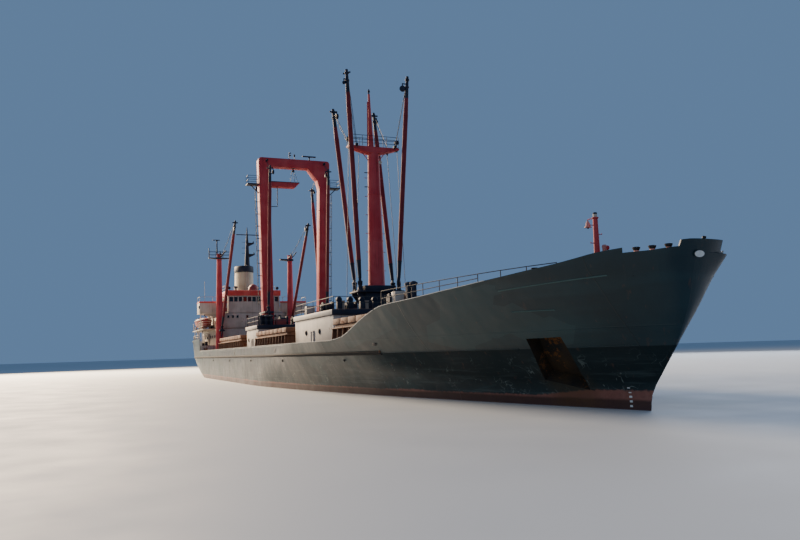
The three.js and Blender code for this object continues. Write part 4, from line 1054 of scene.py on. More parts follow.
def make_mast_houses():
    """The two mast houses: walls with a deep edge band, doors, lights, ventilators and their guard rails."""
    top = MAST_HOUSE_TOP
    for name, aft, fore in (("main_mast_house", 9.4, 20.8), ("portal_mast_house", -13.2, -6.8)):
        middle = (aft + fore) / 2
        piece = begin(name + "_fine", GREY, NAVY, DECK, GLASS)
        box((aft, -5.0, 2.72), (fore, 5.0, top - 0.3), 0.04)
        box((aft - 0.14, -5.14, top - 0.42), (fore + 0.08, 5.14, top - 0.02), 0.05)
        box((fore, -5.14, top - 0.46), (fore + 0.14, 5.14, top - 0.02), 0.05, 1)
        box((aft - 0.05, -5.05, top - 0.06), (fore + 0.05, 5.05, top), 0.02, 2)
        box((fore - 0.02, -4.7, 3.3), (fore + 0.03, 4.7, 3.36), 0.01)
        for s in (-1, 1):
            steel_door((fore + 0.02, s * 3.4, 3.75), ALONG)
            steel_door((aft - 0.02, s * 3.4, 3.75), (-1, 0, 0))
            steel_door((middle, s * 5.02, 3.75), (0, s, 0))
            for x in (middle - 2.0, middle + 2.0):
                porthole((x, s * 5.0, 4.5), (0, s, 0), 0.2, 1, 3)
        close(piece, replaces=[name])
        ends = ((aft + 0.1, -4.95), (aft + 0.1, 4.95), (fore - 0.1, 4.95), (fore - 0.1, -4.95))
        runs = guard_runs([(x, y, top) for x, y in ends + ends[:1]], 0.95, (0.5, 1.0), 2.0)
        runs += ladder_runs((aft - 0.3, 1.6, 2.75), (aft - 0.3, 1.6, top + 0.6), ACROSS)
        if aft < 0:
            runs.append([(fore - 0.12, -4.9, top), (fore - 0.12, -4.9, top + 1.35)])
        bars(name + "_guard_rails", runs, 0.026, RAIL_GREY)
    piece = begin("mast_house_ventilators", NAVY, WHITE, IRON, VENT_RED)
    mushroom = [(0, 0.24), (0.04, 0.18), (0.62, 0.18), (0.63, 0.34), (0.76, 0.34), (0.88, 0.22), (0.92, 0.05)]
    for x, y in ((19.9, 1.9), (19.9, 3.4), (-12.7, 1.8)):
        turned((x, y, top - 0.02), UP, mushroom, 18)
    box((18.9, 3.0, top), (19.7, 4.0, top + 0.6), 0.05, 2)
    box((11.2, -4.6, top), (12.0, -3.9, top + 0.8), 0.05, 1)
    # Controller stands and reels at the fore edge of the main mast house, and on the portal mast house.
    for y in (-4.2, -3.3, -2.35, -1.3, -0.3, 0.8):
        pad(19.8, y, top, 0.2, 0.2, 0.62, 0.04)
        turned((19.5, y, top + 0.78), ALONG, [(0, 0.16), (0.04, 0.22), (0.34, 0.22), (0.4, 0.14)], 14)
    for y in (-3.75, -1.8):
        turned((19.1, y, top), UP, [(0, 0.24), (0.04, 0.2), (0.66, 0.2), (0.68, 0.26), (0.74, 0.26)], 14, 1)
    post = [(0, 0.2), (0.04, 0.15), (0.86, 0.15), (0.88, 0.24), (1.02, 0.24), (1.1, 0.1)]
    for y in (-4.5, -3.95, -3.4):
        turned((-7.55, y, top), UP, post, 14)
    box((-8.3, -4.7, top), (-7.8, -3.1, top + 0.75), 0.05)
    reel = [(0, 0.22), (0.06, 0.34), (0.12, 0.34), (0.14, 0.2), (1.1, 0.2), (1.12, 0.34), (1.2, 0.3)]
    turned((-8.05, -4.5, top + 0.95), ACROSS, reel)
    box((-8.1, -2.9, top), (-7.5, -1.7, top + 0.62), 0.05, 3)
    turned((18.9, 4.2, top + 0.35), ACROSS, [(0, 0.3), (0.05, 0.34), (0.5, 0.34), (0.55, 0.3)])
    close(piece)


# Masts

MAIN_X, PORTAL_X, POST_X = 16.8, -10.0, -33.0


def make_main_mast():
    """The main mast: pedestal, table, tapered column with its bands, crosstree and topmast."""
    x, top = MAIN_X, MAST_HOUSE_TOP
    piece = begin("main_mast_fine", MAST_RED, NAVY, IRON, WHITE)
    box((x - 0.9, -1.3, top + 0.01), (x + 0.9, 1.3, 7.57), 0.05, 1)
    box((x - 1.1, -2.0, 7.55), (x + 1.15, 2.0, 7.7), 0.04, 1)
    pad(x, 0, 7.68, 0.95, 1.35, 0.44, 0.06, 1)
    column = [(0, 0.76), (0.06, 0.76), (0.1, 0.69), (3.7, 0.62), (3.72, 0.64), (3.8, 0.64), (3.82, 0.615),
              (7.6, 0.54), (7.62, 0.56), (7.7, 0.56), (7.72, 0.535), (11.3, 0.47)]
    turned((x, 0, 8.1), UP, column, 28)
    # Crosstree: a hollow wing that thins to its ends, and lies a little hollow on top.
    rings = []
    for y in spaced(-2.25, 2.25, 24):
        share = abs(y) / 2.25
        low = 19.2 + 0.46 * max(0.0, (share - 0.2) / 0.8) ** 1.15
        high = 19.74 + 0.06 * share ** 2
        deep = 0.46 * (1 - 0.35 * share ** 3)
        half = [(deep * 0.8, low), (deep, low + 0.05), (deep, high)]
        rings.append([(x - out, y, z) for out, z in reversed(half)] + [(x + out, y, z) for out, z in half])
    lofted(rings)
    for s in (-1, 1):
        gusset = mirrored([(1.28, 7.56), (1.28, 6.7), (1.36, 6.7), (1.92, 7.4), (1.92, 7.56)], s)
        for here in (x - 0.7, x + 0.7):
            slab(0, gusset, here - 0.05, here + 0.05, 0.01, 1)
        for here in (16.12, 17.5):
            beam((here, s * 1.58, 19.76), (here, s * 1.79, 19.76), ALONG, 0.26, 0.2, 0.02, 1)
            ring((here, s * 1.685, 19.68), ACROSS, 0.09, 0.035, 1, 12)
        beam((x - 0.2, s * 2.05, 19.74), (x + 0.2, s * 2.05, 19.74), ACROSS, 0.3, 0.34, 0.04, 1)
        beam((x, s * 2.0, 19.76), (x, s * 2.14, 20.4), ALONG, 0.1, 0.12, 0.02, 1)
        hanging_block((x, s * 2.14, 20.36), ALONG, 0.2, 0.26, 1)
        rod((x, s * 1.01, 19.35), (x, s * 0.45, 18.65), 0.035, 8)
        pad(x, s * 1.86, 7.68, 0.1, 0.1, 0.16, 0.02, 1)
        turned((x, s * 2.62, top), UP, [(0, 0.14), (0.08, 0.14), (0.1, 0.08), (0.2, 0.07)], 12, 1)
    beam((x, 1.25, 19.5), (x, 1.25, 19.2), ALONG, 0.12, 0.12, 0.02, 1)
    # The topmast leans a little to starboard, with a thin pipe up its side.
    topmast = [(0, 0.3), (0.08, 0.23), (2.6, 0.15), (2.62, 0.17), (2.68, 0.17), (2.7, 0.135), (4.7, 0.085)]
    turned((x, -0.17, 19.7), (-0.03, -0.08, 5.1), topmast, 18)
    finial = [(0, 0.07), (0.14, 0.05), (0.16, 0.11), (0.24, 0.12), (0.32, 0.07), (0.44, 0.03)]
    turned((x - 0.03, -0.244, 24.4), (0, -0.006, 5.6), finial, 12, 1)
    rod((x, -0.47, 19.8), (x, -0.39, 23.7), 0.055, 8)
    for z in (21.0, 23.5):
        beam((x, -0.2, z), (x, -0.46, z), UP, 0.06, 0.05, 0.01)
    for z in (17.6, 16.4):
        beam((x, -0.5, z), (x, -0.84, z), ALONG, 0.07, 0.07, 0.015, 1)
    # The lamp on its arm.
    beam((x + 0.45, 0.3, 18.4), (x + 0.7, 0.32, 18.4), ACROSS, 0.06, 0.06, 0.01, 1)
    shade = [(0, 0.05), (0.04, 0.1), (0.14, 0.15), (0.17, 0.15), (0.18, 0.12)]
    turned((x + 0.62, 0.32, 18.46), (0.3, 0.04, -0.26), shade, 12, 3)
    close(piece, replaces=["main_mast"])
    runs = []
    for here in (x + 0.42, x - 0.42):
        runs += guard_runs([(here, -2.15, 19.78), (here, 2.15, 19.78)], 0.9, (0.6, 1.0), 1.05)
    bars("main_mast_guard_rails", runs, 0.021, NAVY)
    runs = ladder_runs((x - 0.78, 0, 8.15), (x - 0.6, 0, 19.8), ACROSS)
    for z in spaced(9.4, 17.15, 5):
        runs += [[(x, s * 0.6, z), (x, s * 0.84, z)] for s in (-1, 1)]
    bars("main_mast_ladders", runs, 0.024, MAST_RED)


def portal_leg(z):
    """The outer face of the portal's legs at a height."""
    return 3.8 + (z - 6.1) * 0.0222


def make_portal_mast():
    """The portal: two legs and a beam cut from one plate, with brackets, platforms, lamps and a radar."""
    x = PORTAL_X
    foot = MAST_HOUSE_TOP + 0.01
    piece = begin("portal_mast_fine", MAST_RED, NAVY)
    outer = [(2.6, foot), (3.8, foot), (4.22, 25.02), (4.19, 25.2), (4.08, 25.34), (3.95, 25.39)]
    port_inside = [(1.63, 24.38), (2.4, 23.35), (2.7, 23.1), (2.95, 22.1)]
    starboard_inside = [(2.45, 24.38), (2.62, 24.25), (2.8, 23.95), (2.93, 23.3)]
    arch = outer + mirrored(reversed(outer), -1) + mirrored(reversed(starboard_inside), -1) + port_inside
    slab(0, arch, x - 0.6, x + 0.6, 0.07)
    for s in (-1, 1):
        box((x - 1.7, s * 2.9, 7.4), (x + 1.7, s * 3.9, 7.6), 0.04, 1)
        for way in (-1, 1):
            knee = [(x + way * 1.3 - 0.3, 7.42), (x + way * 1.3 + 0.3, 7.42), (x + way * 0.55, 6.7)]
            slab(1, knee, s * 3.3, s * 3.42, 0.01, 1)
            here = x + way * 1.1
            beam((here - 0.28, s * 3.4, 24.9), (here + 0.28, s * 3.4, 24.9), ACROSS, 0.2, 0.22, 0.03, 1)
        box((x - 0.6, s * 4.05, 22.16), (x + 0.6, s * 5.5, 22.28), 0.03, 1)
        beam((x, s * 4.06, 21.2), (x, s * 5.1, 22.18), ALONG, 0.12, 0.1, 0.02, 1)
        # Bands where the legs were joined.
        for z in (10.5, 15.0, 19.5):
            inner = 2.62 + (z - 6.1) * 0.0185
            box((x - 0.62, s * inner, z), (x + 0.62, s * (portal_leg(z) + 0.02), z + 0.07), 0.02)
    slab(0, [(-3.05, 22.05), (0.06, 22.05), (0.6, 22.62), (-3.05, 22.62)], x - 0.5, x + 0.5, 0.05)
    box((x - 0.52, -2.9, 22.6), (x + 0.52, 0.58, 22.66), 0.01, 1)
    hanging_block((x + 0.35, -0.15, 24.02), ALONG, 0.15, 0.2, 1)
    beam((x + 0.35, -0.35, 24.36), (x + 0.35, 0.1, 24.36), ALONG, 0.1, 0.1, 0.02, 1)
    # Lamps and the radar above the beam.
    beam((x, -0.5, 25.38), (x, -0.5, 26.24), ALONG, 0.07, 0.07, 0.02, 1)
    for z in (25.9, 26.18):
        box((x - 0.1, -0.52, z), (x + 0.12, -0.28, z + 0.1), 0.03, 1)
    beam((x, 0.14, 25.38), (x, 0.12, 25.9), ALONG, 0.06, 0.06, 0.015, 1)
    turned((x, 0.12, 25.84), UP, [(0, 0.06), (0.04, 0.1), (0.24, 0.1), (0.28, 0.04)], 12, 1)
    turned((x, 1.92, 25.38), UP, [(0, 0.18), (0.05, 0.08), (0.44, 0.07), (0.46, 0.12), (0.52, 0.12)], 14, 1)
    pad(x, 1.9, 25.88, 0.11, 0.82, 0.14, 0.05, 1)
    close(piece, replaces=["portal_mast"])
    rails = []
    for s in (-1, 1):
        corners = ((-0.55, 4.25), (-0.55, 5.45), (0.55, 5.45), (0.55, 4.25))
        rails += guard_runs([(x + along, s * y, 22.27) for along, y in corners], 0.9, (0.5, 1.0), 1.0)
    # Falls from the block under the beam to the platform's end.
    for y in (-0.5, 0.05, 0.42):
        rails.append([(x + 0.35, -0.15 + 0.3 * y, 24.0), (x + 0.35, y, 22.64)])
    bars("portal_platform_rails", rails, 0.024, NAVY)
    for side, s in SIDES:
        foot, head = (x, s * (portal_leg(8.4) + 0.4), 8.4), (x, s * (portal_leg(21.5) + 0.4), 21.5)
        irons = ladder_runs(foot, head, ALONG, 0.36, 0.34)
        for z in spaced(8.9, 20.26, 8):
            y = portal_leg(z)
            for along in (-0.18, 0.18):
                irons.append([(x + along, s * (y - 0.02), z), (x + along, s * (y + 0.4), z)])
        bars(f"portal_ladder_{side}", irons, 0.024, RAIL_GREY)
    pipe = [(x + 0.3, -2.02, 22.1), (x + 0.3, -2.03, 19.74), (x + 0.3, -2.95, 19.7)]
    bars("portal_beam_pipe", [pipe], 0.05, NAVY)


def make_samson_posts():
    """The two posts ahead of the bridge: each has a platform, a derrick bracket and a lug for its lift; the
    starboard one has a radar post and a taller platform."""
    column = [(0, 0.62), (0.05, 0.62), (0.1, 0.55), (4.6, 0.49), (4.62, 0.51), (4.7, 0.51), (4.72, 0.485),
              (13.7, 0.34), (14.4, 0.33), (14.42, 0.37), (14.48, 0.37)]
    x, left = POST_X, -1.45
    for side, s in SIDES:
        y = s * 5.1
        right, underside = (1.5, 16.42) if s < 0 else (0.45, 16.34)
        piece = begin(f"samson_post_{side}_fine", MAST_RED, NAVY)
        turned((x, y, 2.72), UP, column, 22)
        rings = []
        for here in spaced(left, right, 12):
            share = abs(here) / 1.5
            low, high = underside + 0.14 * share, 16.62 + 0.03 * share ** 2
            deep = 0.45 * (1 - 0.3 * share ** 2)
            section = ((-deep, high), (-deep * 0.8, low), (deep * 0.8, low), (deep, high))
            rings.append([(x + out, y + here, z) for out, z in section])
        lofted(rings, 1)
        middle = y - s * 0.2
        box((x + 0.3, middle - 0.35, 6.25), (x + 1.45, middle + 0.35, 6.45), 0.04, 1)
        knee = [(x + 0.4, 6.3), (x + 1.3, 6.3), (x + 0.45, 5.3)]
        slab(1, knee, middle - 0.06, middle + 0.06, 0.01, 1)
        beam((x + 0.25, s * 4.9, 16.85), (x + 1.1, s * 4.9, 16.85), ACROSS, 0.22, 0.2, 0.03, 1)
        hanging_block((x + 0.55, y + 0.05, 17.15), ACROSS, 0.16, 0.2, 1)
        beam((x, y + 0.2, 16.7), (x + 0.2, y + 0.95, 17.7), ALONG, 0.16, 0.14, 0.03, 1)
        if s < 0:
            post = [(0, 0.14), (0.05, 0.1), (1.9, 0.08), (1.92, 0.12), (2.02, 0.12)]
            turned((x, y - 0.3, 17.1), (0, -0.12, 12.9), post, 12, 1)
            box((x - 0.1, y - 0.92, 19.12), (x + 0.1, y + 0.1, 19.24), 0.04, 1)
            beam((x, y - 1.42, 16.6), (x, y - 1.42, 18.05), ALONG, 0.1, 0.1, 0.02, 1)
        close(piece, replaces=[f"samson_post_{side}"])
        if s < 0:
            rails = []
            for here in (x + 0.36, x - 0.36):
                ends = [(here, y + left + 0.05, 16.62), (here, y + right - 0.05, 16.62)]
                rails += guard_runs(ends, 0.9, (0.5, 1.0), 0.9)
            bars("samson_post_rails", rails, 0.024, NAVY)
        irons = ladder_runs((x - 0.62, y, 2.75), (x - 0.42, y, 16.5), ACROSS, 0.38)
        bars(f"samson_post_{side}_irons", irons, 0.024, MAST_RED)


# Derricks: each boom turns on a pin in its gooseneck, and the gooseneck turns on the table.

# Name, heel, head, top of the table, and the lug that the topping lift hangs from; given for the port side.
DERRICKS = (
    ("main_fore", (17.5, 1.68, 8.4), (18.3, 2.69, 25.73), 7.72, (17.5, 1.685, 19.66)),
    ("main_aft", (16.15, 1.69, 8.4), (12.0, 1.93, 24.44), 7.72, (16.12, 1.685, 19.66)),
    ("portal_fore", (-8.75, 3.4, 8.05), (-7.2, 3.4, 23.9), 7.62, (-8.9, 3.4, 24.8)),
    ("portal_aft", (-11.25, 3.4, 8.05), (-14.1, 3.3, 23.07), 7.62, (-11.1, 3.4, 24.8)),
    ("after", (-32.0, 4.9, 6.9), (-21.4, 4.82, 20.0), 6.47, (-31.98, 4.9, 16.75)),
)
# Where each head block hangs from the boom's tip: across the ship, below the tip, and its radius.
HEAD_BLOCKS = {
    "main_fore_starboard": (-0.22, 1.13, 0.13), "main_fore_port": (-0.46, 1.1, 0.25),
    "main_aft_starboard": (0.33, 0.66, 0.25), "main_aft_port": (0.22, 0.86, 0.16),
    "after_starboard": (-0.05, 1.0, 0.26),
    "portal_aft_starboard": (-0.3, 0.5, 0.14), "portal_aft_port": (0.3, 0.5, 0.14),
}


def make_boom(tag, foot, tip, along, pin):
    """A boom: heel eye and neck, a tube that swells to its middle and thins to the head, and its head bands.
    Gives back the place of the band that the topping lift holds."""
    piece = begin(f"derrick_{tag}_boom", BOOM_RED, NAVY, IRON)
    length = (tip - foot).length
    turned(foot - pin * 0.07, pin, [(0, 0.13), (0.02, 0.15), (0.12, 0.15), (0.14, 0.13)], 18, 1)
    beam(foot, foot + along * 0.36, pin, 0.14, 0.24, 0.02, 1)
    neck = [(0, 0.12), (0.04, 0.15), (0.1, 0.14), (1.36, 0.18), (1.38, 0.2), (1.46, 0.2)]
    turned(foot + along * 0.32, along, neck, 16, 1)
    rise, fall, head = length * 0.18, length * 0.7, length - 1.9
    tube = [(0, 0.185), (rise, 0.2), (rise + 0.02, 0.215), (rise + 0.12, 0.215), (rise + 0.14, 0.2),
            (fall, 0.2), (fall + 0.02, 0.212), (fall + 0.12, 0.212), (fall + 0.14, 0.198),
            (head - 1.78, 0.17)]
    turned(foot + along * 1.78, along, tube)
    bands = [(0, 0.17), (0.9, 0.15), (0.92, 0.19), (1.02, 0.19), (1.04, 0.14), (1.5, 0.125), (1.52, 0.18),
             (1.66, 0.18), (1.68, 0.12), (1.86, 0.12), (1.9, 0.09)]
    start = foot + along * head
    turned(start, along, bands, 16, 1)
    end = start + along * 1.6
    for way in (1, -1):
        beam(end + pin * way * 0.12, end + pin * way * 0.36, along, 0.14, 0.06, 0.02, 1)
    close(piece, f"derrick_{tag}", [f"derrick_{tag}"])
    return end


def make_fork(tag, foot, table, pin):
    """A gooseneck: a post on the table, and a fork with the boom's pin across it."""
    piece = begin(f"gooseneck_{tag}_fork", NAVY, IRON)
    drop = foot.z - table
    post = [(0, 0.24), (0.05, 0.24), (0.08, 0.17), (drop - 0.25, 0.16), (drop - 0.19, 0.19),
            (drop - 0.17, 0.15)]
    turned((foot.x, foot.y, table), UP, post, 18)
    up = Vector(UP)
    beam(foot - up * 0.23, foot - up * 0.17, pin, 0.29, 0.3, 0.015)
    for c in (-1, 1):
        here = foot + pin * c * 0.112
        beam(here - up * 0.2, here + up * 0.08, pin, 0.06, 0.28, 0.015)
        turned(foot + pin * c * 0.13, pin * c, [(0, 0.1), (0.05, 0.1), (0.06, 0.06), (0.08, 0.05)], 10, 1)
    rod(foot - pin * 0.14, foot + pin * 0.14, 0.055, 12, 1)
    close(piece, f"gooseneck_{tag}", [f"gooseneck_{tag}"])


def make_derricks():
    for name, heel, head, table, lug in DERRICKS:
        for side, s in SIDES:
            foot, tip, lift = (Vector((p[0], s * p[1], p[2])) for p in (heel, head, lug))
            along = (tip - foot).normalized()
            flat = Vector((along.x, along.y, 0)).normalized()
            pin = Vector(UP).cross(flat).normalized()
            tag = f"{name}_{side}"
            end = make_boom(tag, foot, tip, along, pin)

            gear = begin(f"derrick_{tag}_blocks", NAVY)
            across, below, size = HEAD_BLOCKS.get(tag, (-s * 0.34, 0.75, 0.24))
            on_boom = foot + along * ((tip.z - below + size + 0.18 - foot.z) / along.z)
            here = Vector((on_boom.x, tip.y + across, tip.z - below))
            hanging_block(here, pin, size, 0.22)
            rod(on_boom, here + Vector((0, 0, size + 0.18)), 0.05, 8)
            close(gear, f"derrick_{tag}")

            make_fork(tag, foot, table, pin)

            # The topping lift runs from the lug above the gooseneck to the band at the boom's head. Each part
            # has a ring of vertices at its two ends alone.
            falls = [[tuple(lift + pin * shift), tuple(end + pin * shift)] for shift in (-0.05, 0.05)]
            wire = bars(f"topping_lift_{tag}", falls, 0.022, WIRE, None)
            put(lift)
            put(end)
            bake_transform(wire)


# Accommodation

FRONT = -34.0
BOAT_DECK, BRIDGE_DECK = 6.72, 8.94
WINDOW_MIDDLE = 10.86
WING_END = 7.66


def make_houses():
    """Lower and middle deckhouses: bevelled walls, decks, doors and lights."""
    lower = begin("deckhouse_lower_fine", WHITE, DECK, GLASS, NAVY)
    box((-48.2, -5.4, 4.31), (FRONT, 5.4, 6.62), 0.06)
    edge = [(-48.7, -5.4), (-47.2, -6.2), (-45.2, -7.3), (FRONT, -7.3)]
    outline = edge + [(x, -y) for x, y in reversed(edge)]
    slab(2, outline, 6.6, 6.7, 0.02)
    slab(2, [(x * 0.999, y * 0.985) for x, y in outline], 6.69, BOAT_DECK, 0.0, 1)
    for s in (-1, 1):
        for x in (-36, -38.6, -41.2, -43.8, -46.4):
            y = s * (7.1 if x > -45 else 6.3)
            beam((x, y, 4.31), (x, y, 6.6), ALONG, 0.1, 0.1, 0.01)
        for x in (-35.2, -37.2, -39.2, -42.6, -44.8):
            porthole((x, s * 5.4, 5.6), (0, s, 0), 0.19, 3, 2)
        for x in (-40.8, -46.6):
            steel_door((x, s * 5.42, 5.25), (0, s, 0))
        steel_door((-48.22, s * 1.5, 5.25), (-1, 0, 0))
    close(lower, replaces=["deckhouse_lower"])

    middle = begin("deckhouse_middle_fine", WHITE, DECK, GLASS, NAVY, VENT_RED)
    box((-47.0, -4.5, 6.73), (FRONT, 4.5, 8.84), 0.06)
    box((-47.5, -4.8, 8.82), (FRONT, 4.8, 8.92), 0.02)
    box((-47.45, -4.75, 8.9), (-36.0, 4.75, BRIDGE_DECK), 0.01, 1)
    box((-36.5, -7.7, 8.82), (FRONT, 7.7, 8.93), 0.02)
    for s in (-1, 1):
        # The plated front runs on down from the wing as two brackets.
        slab(0, mirrored([(4.45, 8.84), (7.2, 8.84), (4.45, 7.9)], s), FRONT - 0.5, FRONT - 0.42, 0.01)
        for x in (-36.2, -38.4, -40.8, -43.2, -45.6):
            panel((x, s * 4.52, 7.9), (0, s, 0), 0.62, 0.5, 0.1, 0.05, 0.04, 0, 2)
        steel_door((-37.3, s * 4.52, 7.65), (0, s, 0))
        beam((-34.2, s * 7.5, BOAT_DECK), (-34.2, s * 7.5, 8.84), ALONG, 0.1, 0.1, 0.01)
        for y in (3.7, 3.05, 2.4, 1.0):
            panel((FRONT + 0.02, s * y, 8.36), ALONG, 0.38, 0.46, 0.1, 0.04, 0.04, 0, 2)
    vent = [(0, 0.2), (0.04, 0.22), (0.28, 0.22), (0.3, 0.25), (0.36, 0.24), (0.38, 0.16)]
    turned((FRONT, -4.1, 9.35), ALONG, vent, 18, 4)
    close(middle, replaces=["deckhouse_middle"])


def make_wings():
    """The bridge wings: plating under a red band, the sidelight in its box, a lifebuoy and rails."""
    for side, s in SIDES:
        piece = begin(f"bridge_wing_{side}_fine", WHITE, FASCIA, SIDELIGHT, NAVY)
        box((FRONT - 0.09, s * 3.78, 8.96), (FRONT, s * 7.69, 10.5), 0.02)
        box((FRONT - 0.12, s * 3.78, 10.32), (FRONT + 0.03, s * 7.69, 10.55), 0.03, 1)
        box((-36.5, s * 7.62, 8.97), (FRONT - 0.01, s * 7.7, 10.49), 0.02)
        box((-36.53, s * 7.59, 10.34), (FRONT + 0.01, s * 7.73, 10.54), 0.03, 1)
        box((-36.49, s * 4.8, 8.96), (-36.42, s * 7.67, 10.48), 0.02)
        for y in (4.9, 5.9, 6.9):
            beam((FRONT - 0.1, s * y, 8.96), (FRONT - 0.1, s * y, 10.3), ACROSS, 0.06, 0.26, 0.01)
        # The sidelight in its box at the wing's end.
        box((FRONT - 0.62, s * 7.66, 9.5), (FRONT - 0.02, s * 7.74, 9.95), 0.02, 3)
        lantern = [(0, 0.07), (0.03, 0.09), (0.2, 0.09), (0.24, 0.04)]
        turned((FRONT - 0.1, s * 7.76, 9.6), UP, lantern, 14, 2)
        close(piece, replaces=[f"bridge_wing_{side}"])
        buoy = begin(f"lifebuoy_{side}", ORANGE, WHITE)
        middle = Vector((-36.56, s * 6.2, 9.7))
        ring(middle, ALONG, 0.3, 0.075, 0, 28)
        for turn in (0.8, 2.37, 3.94, 5.51):
            here = middle + Vector((0, math.cos(turn), math.sin(turn))) * 0.3
            ring(here, (0, -math.sin(turn), math.cos(turn)), 0.075, 0.014, 1, 14)
        close(buoy)
        fore, aft, low, high = FRONT - 0.05, -36.45, 10.5, 11.18
        end = s * WING_END
        runs = [[(fore, s * 3.9, high), (fore, end, high), (aft, end, high)]]
        runs += [[(fore, s * y, low), (fore, s * y, high)] for y in (4.2, 5.9, WING_END)]
        runs.append([(aft, end, low), (aft, end, high)])
        if s < 0:
            x, y = FRONT - 0.3, s * 6.95
            runs += [[(x, y, 10.3), (x, y, 13.4)], [(x, y - 0.06, 13.2), (x, y + 0.06, 13.2)]]
        bars(f"bridge_wing_{side}_rails", runs, 0.03, GREY)


def make_wheelhouse_fittings():
    """The wheelhouse's windows, its doors' panes and handles, its console, and its roof with its gear."""
    piece = begin("wheelhouse_windows", NAVY, GLASS)
    for i in range(-5, 6):
        panel((FRONT - 0.04, i * 0.655, WINDOW_MIDDLE), ALONG, 0.5, 0.68, 0.1, 0.035)
    for s in (-1, 1):
        for x in (-34.65, -37.0, -38.0, -39.0):
            panel((x, s * 3.69, WINDOW_MIDDLE), (0, s, 0), 0.7, 0.68, 0.1, 0.04)
        panel((-39.96, s * 2.2, WINDOW_MIDDLE), (-1, 0, 0), 0.8, 0.68, 0.1, 0.04)
    close(piece)
    for side, s in SIDES:
        pane = begin(f"wheelhouse_door_{side}_window", NAVY, GLASS)
        panel((-35.65, s * 3.7, 10.475), (0, s, 0), 0.4, 0.55, 0.08, 0.03, 0.03)
        beam((-35.98, s * 3.74, 9.95), (-35.98, s * 3.8, 9.95), ALONG, 0.05, 0.05, 0.01)
        beam((-35.98, s * 3.8, 9.95), (-35.82, s * 3.8, 9.95), UP, 0.05, 0.04, 0.01)
        close(pane, f"wheelhouse_door_{side}")
    inside = begin("wheelhouse_console", GREY, NAVY, GLASS)
    slab(1, [(-35.5, 9.0), (-34.5, 9.0), (-34.5, 10.1), (-34.9, 10.15), (-35.5, 9.9)], -2.2, 2.2, 0.04)
    turned((-36.2, 0, 8.98), UP, [(0, 0.3), (0.05, 0.16), (0.95, 0.14), (1.0, 0.2), (1.12, 0.2)], 16, 1)
    ring((-36.05, 0, 9.95), ALONG, 0.3, 0.03, 1)
    box((-38.9, 1.2, 8.98), (-37.7, 3.2, 9.95), 0.05)
    close(inside)

    roof = begin("wheelhouse_roof_fine", FASCIA, WHITE, NAVY, VENT_RED)
    box((-40.15, -3.88, 11.62), (FRONT + 0.15, 3.88, 12.14), 0.06)
    box((-40.05, -3.76, 12.1), (FRONT + 0.02, 3.76, 12.16), 0.03, 1)
    box((FRONT + 0.06, -3.86, 11.36), (FRONT + 0.14, 3.86, 11.7), 0.03)
    box((-40.14, -3.85, 11.36), (-40.06, 3.85, 11.7), 0.02)
    for s in (-1, 1):
        box((-40.13, s * 3.79, 11.36), (FRONT + 0.12, s * 3.87, 11.7), 0.02)
        turned((-34.6, s * 3.5, 12.08), UP, [(0, 0.08), (0.05, 0.05), (0.3, 0.05)], 10, 2)
        horn = [(0, 0.1), (0.05, 0.2), (0.3, 0.22), (0.32, 0.18)]
        turned((-34.75, s * 3.5, 12.52), (0.75, 0, -0.04), horn, 16, 2)
    dome = [(0, 0.66), (0.05, 0.7), (0.5, 0.72), (0.62, 0.66), (0.84, 0.5), (0.98, 0.3), (1.04, 0.08)]
    turned((-35.4, 0.16, 12.12), UP, dome, 24, 3)
    compass = [(0, 0.24), (0.04, 0.16), (0.7, 0.14), (0.72, 0.3), (0.9, 0.3), (1.0, 0.1)]
    turned((-37.5, -2.0, 12.08), UP, compass, 16, 2)
    aerial = [(0, 0.16), (0.1, 0.05), (0.5, 0.05), (0.52, 0.3), (0.8, 0.34), (1.1, 0.24), (1.2, 0.06)]
    turned((-38.6, 2.4, 12.08), UP, aerial, 18, 1)
    close(roof, replaces=["wheelhouse_roof"])
    line = [(-36.6, -3.7, 12.15), (-40.0, -3.7, 12.15), (-40.0, 3.7, 12.15), (-36.6, 3.7, 12.15)]
    runs = guard_runs(line, 0.9, (0.5, 1.0), 1.7)
    bars("monkey_island_rails", runs, 0.022, WHITE)


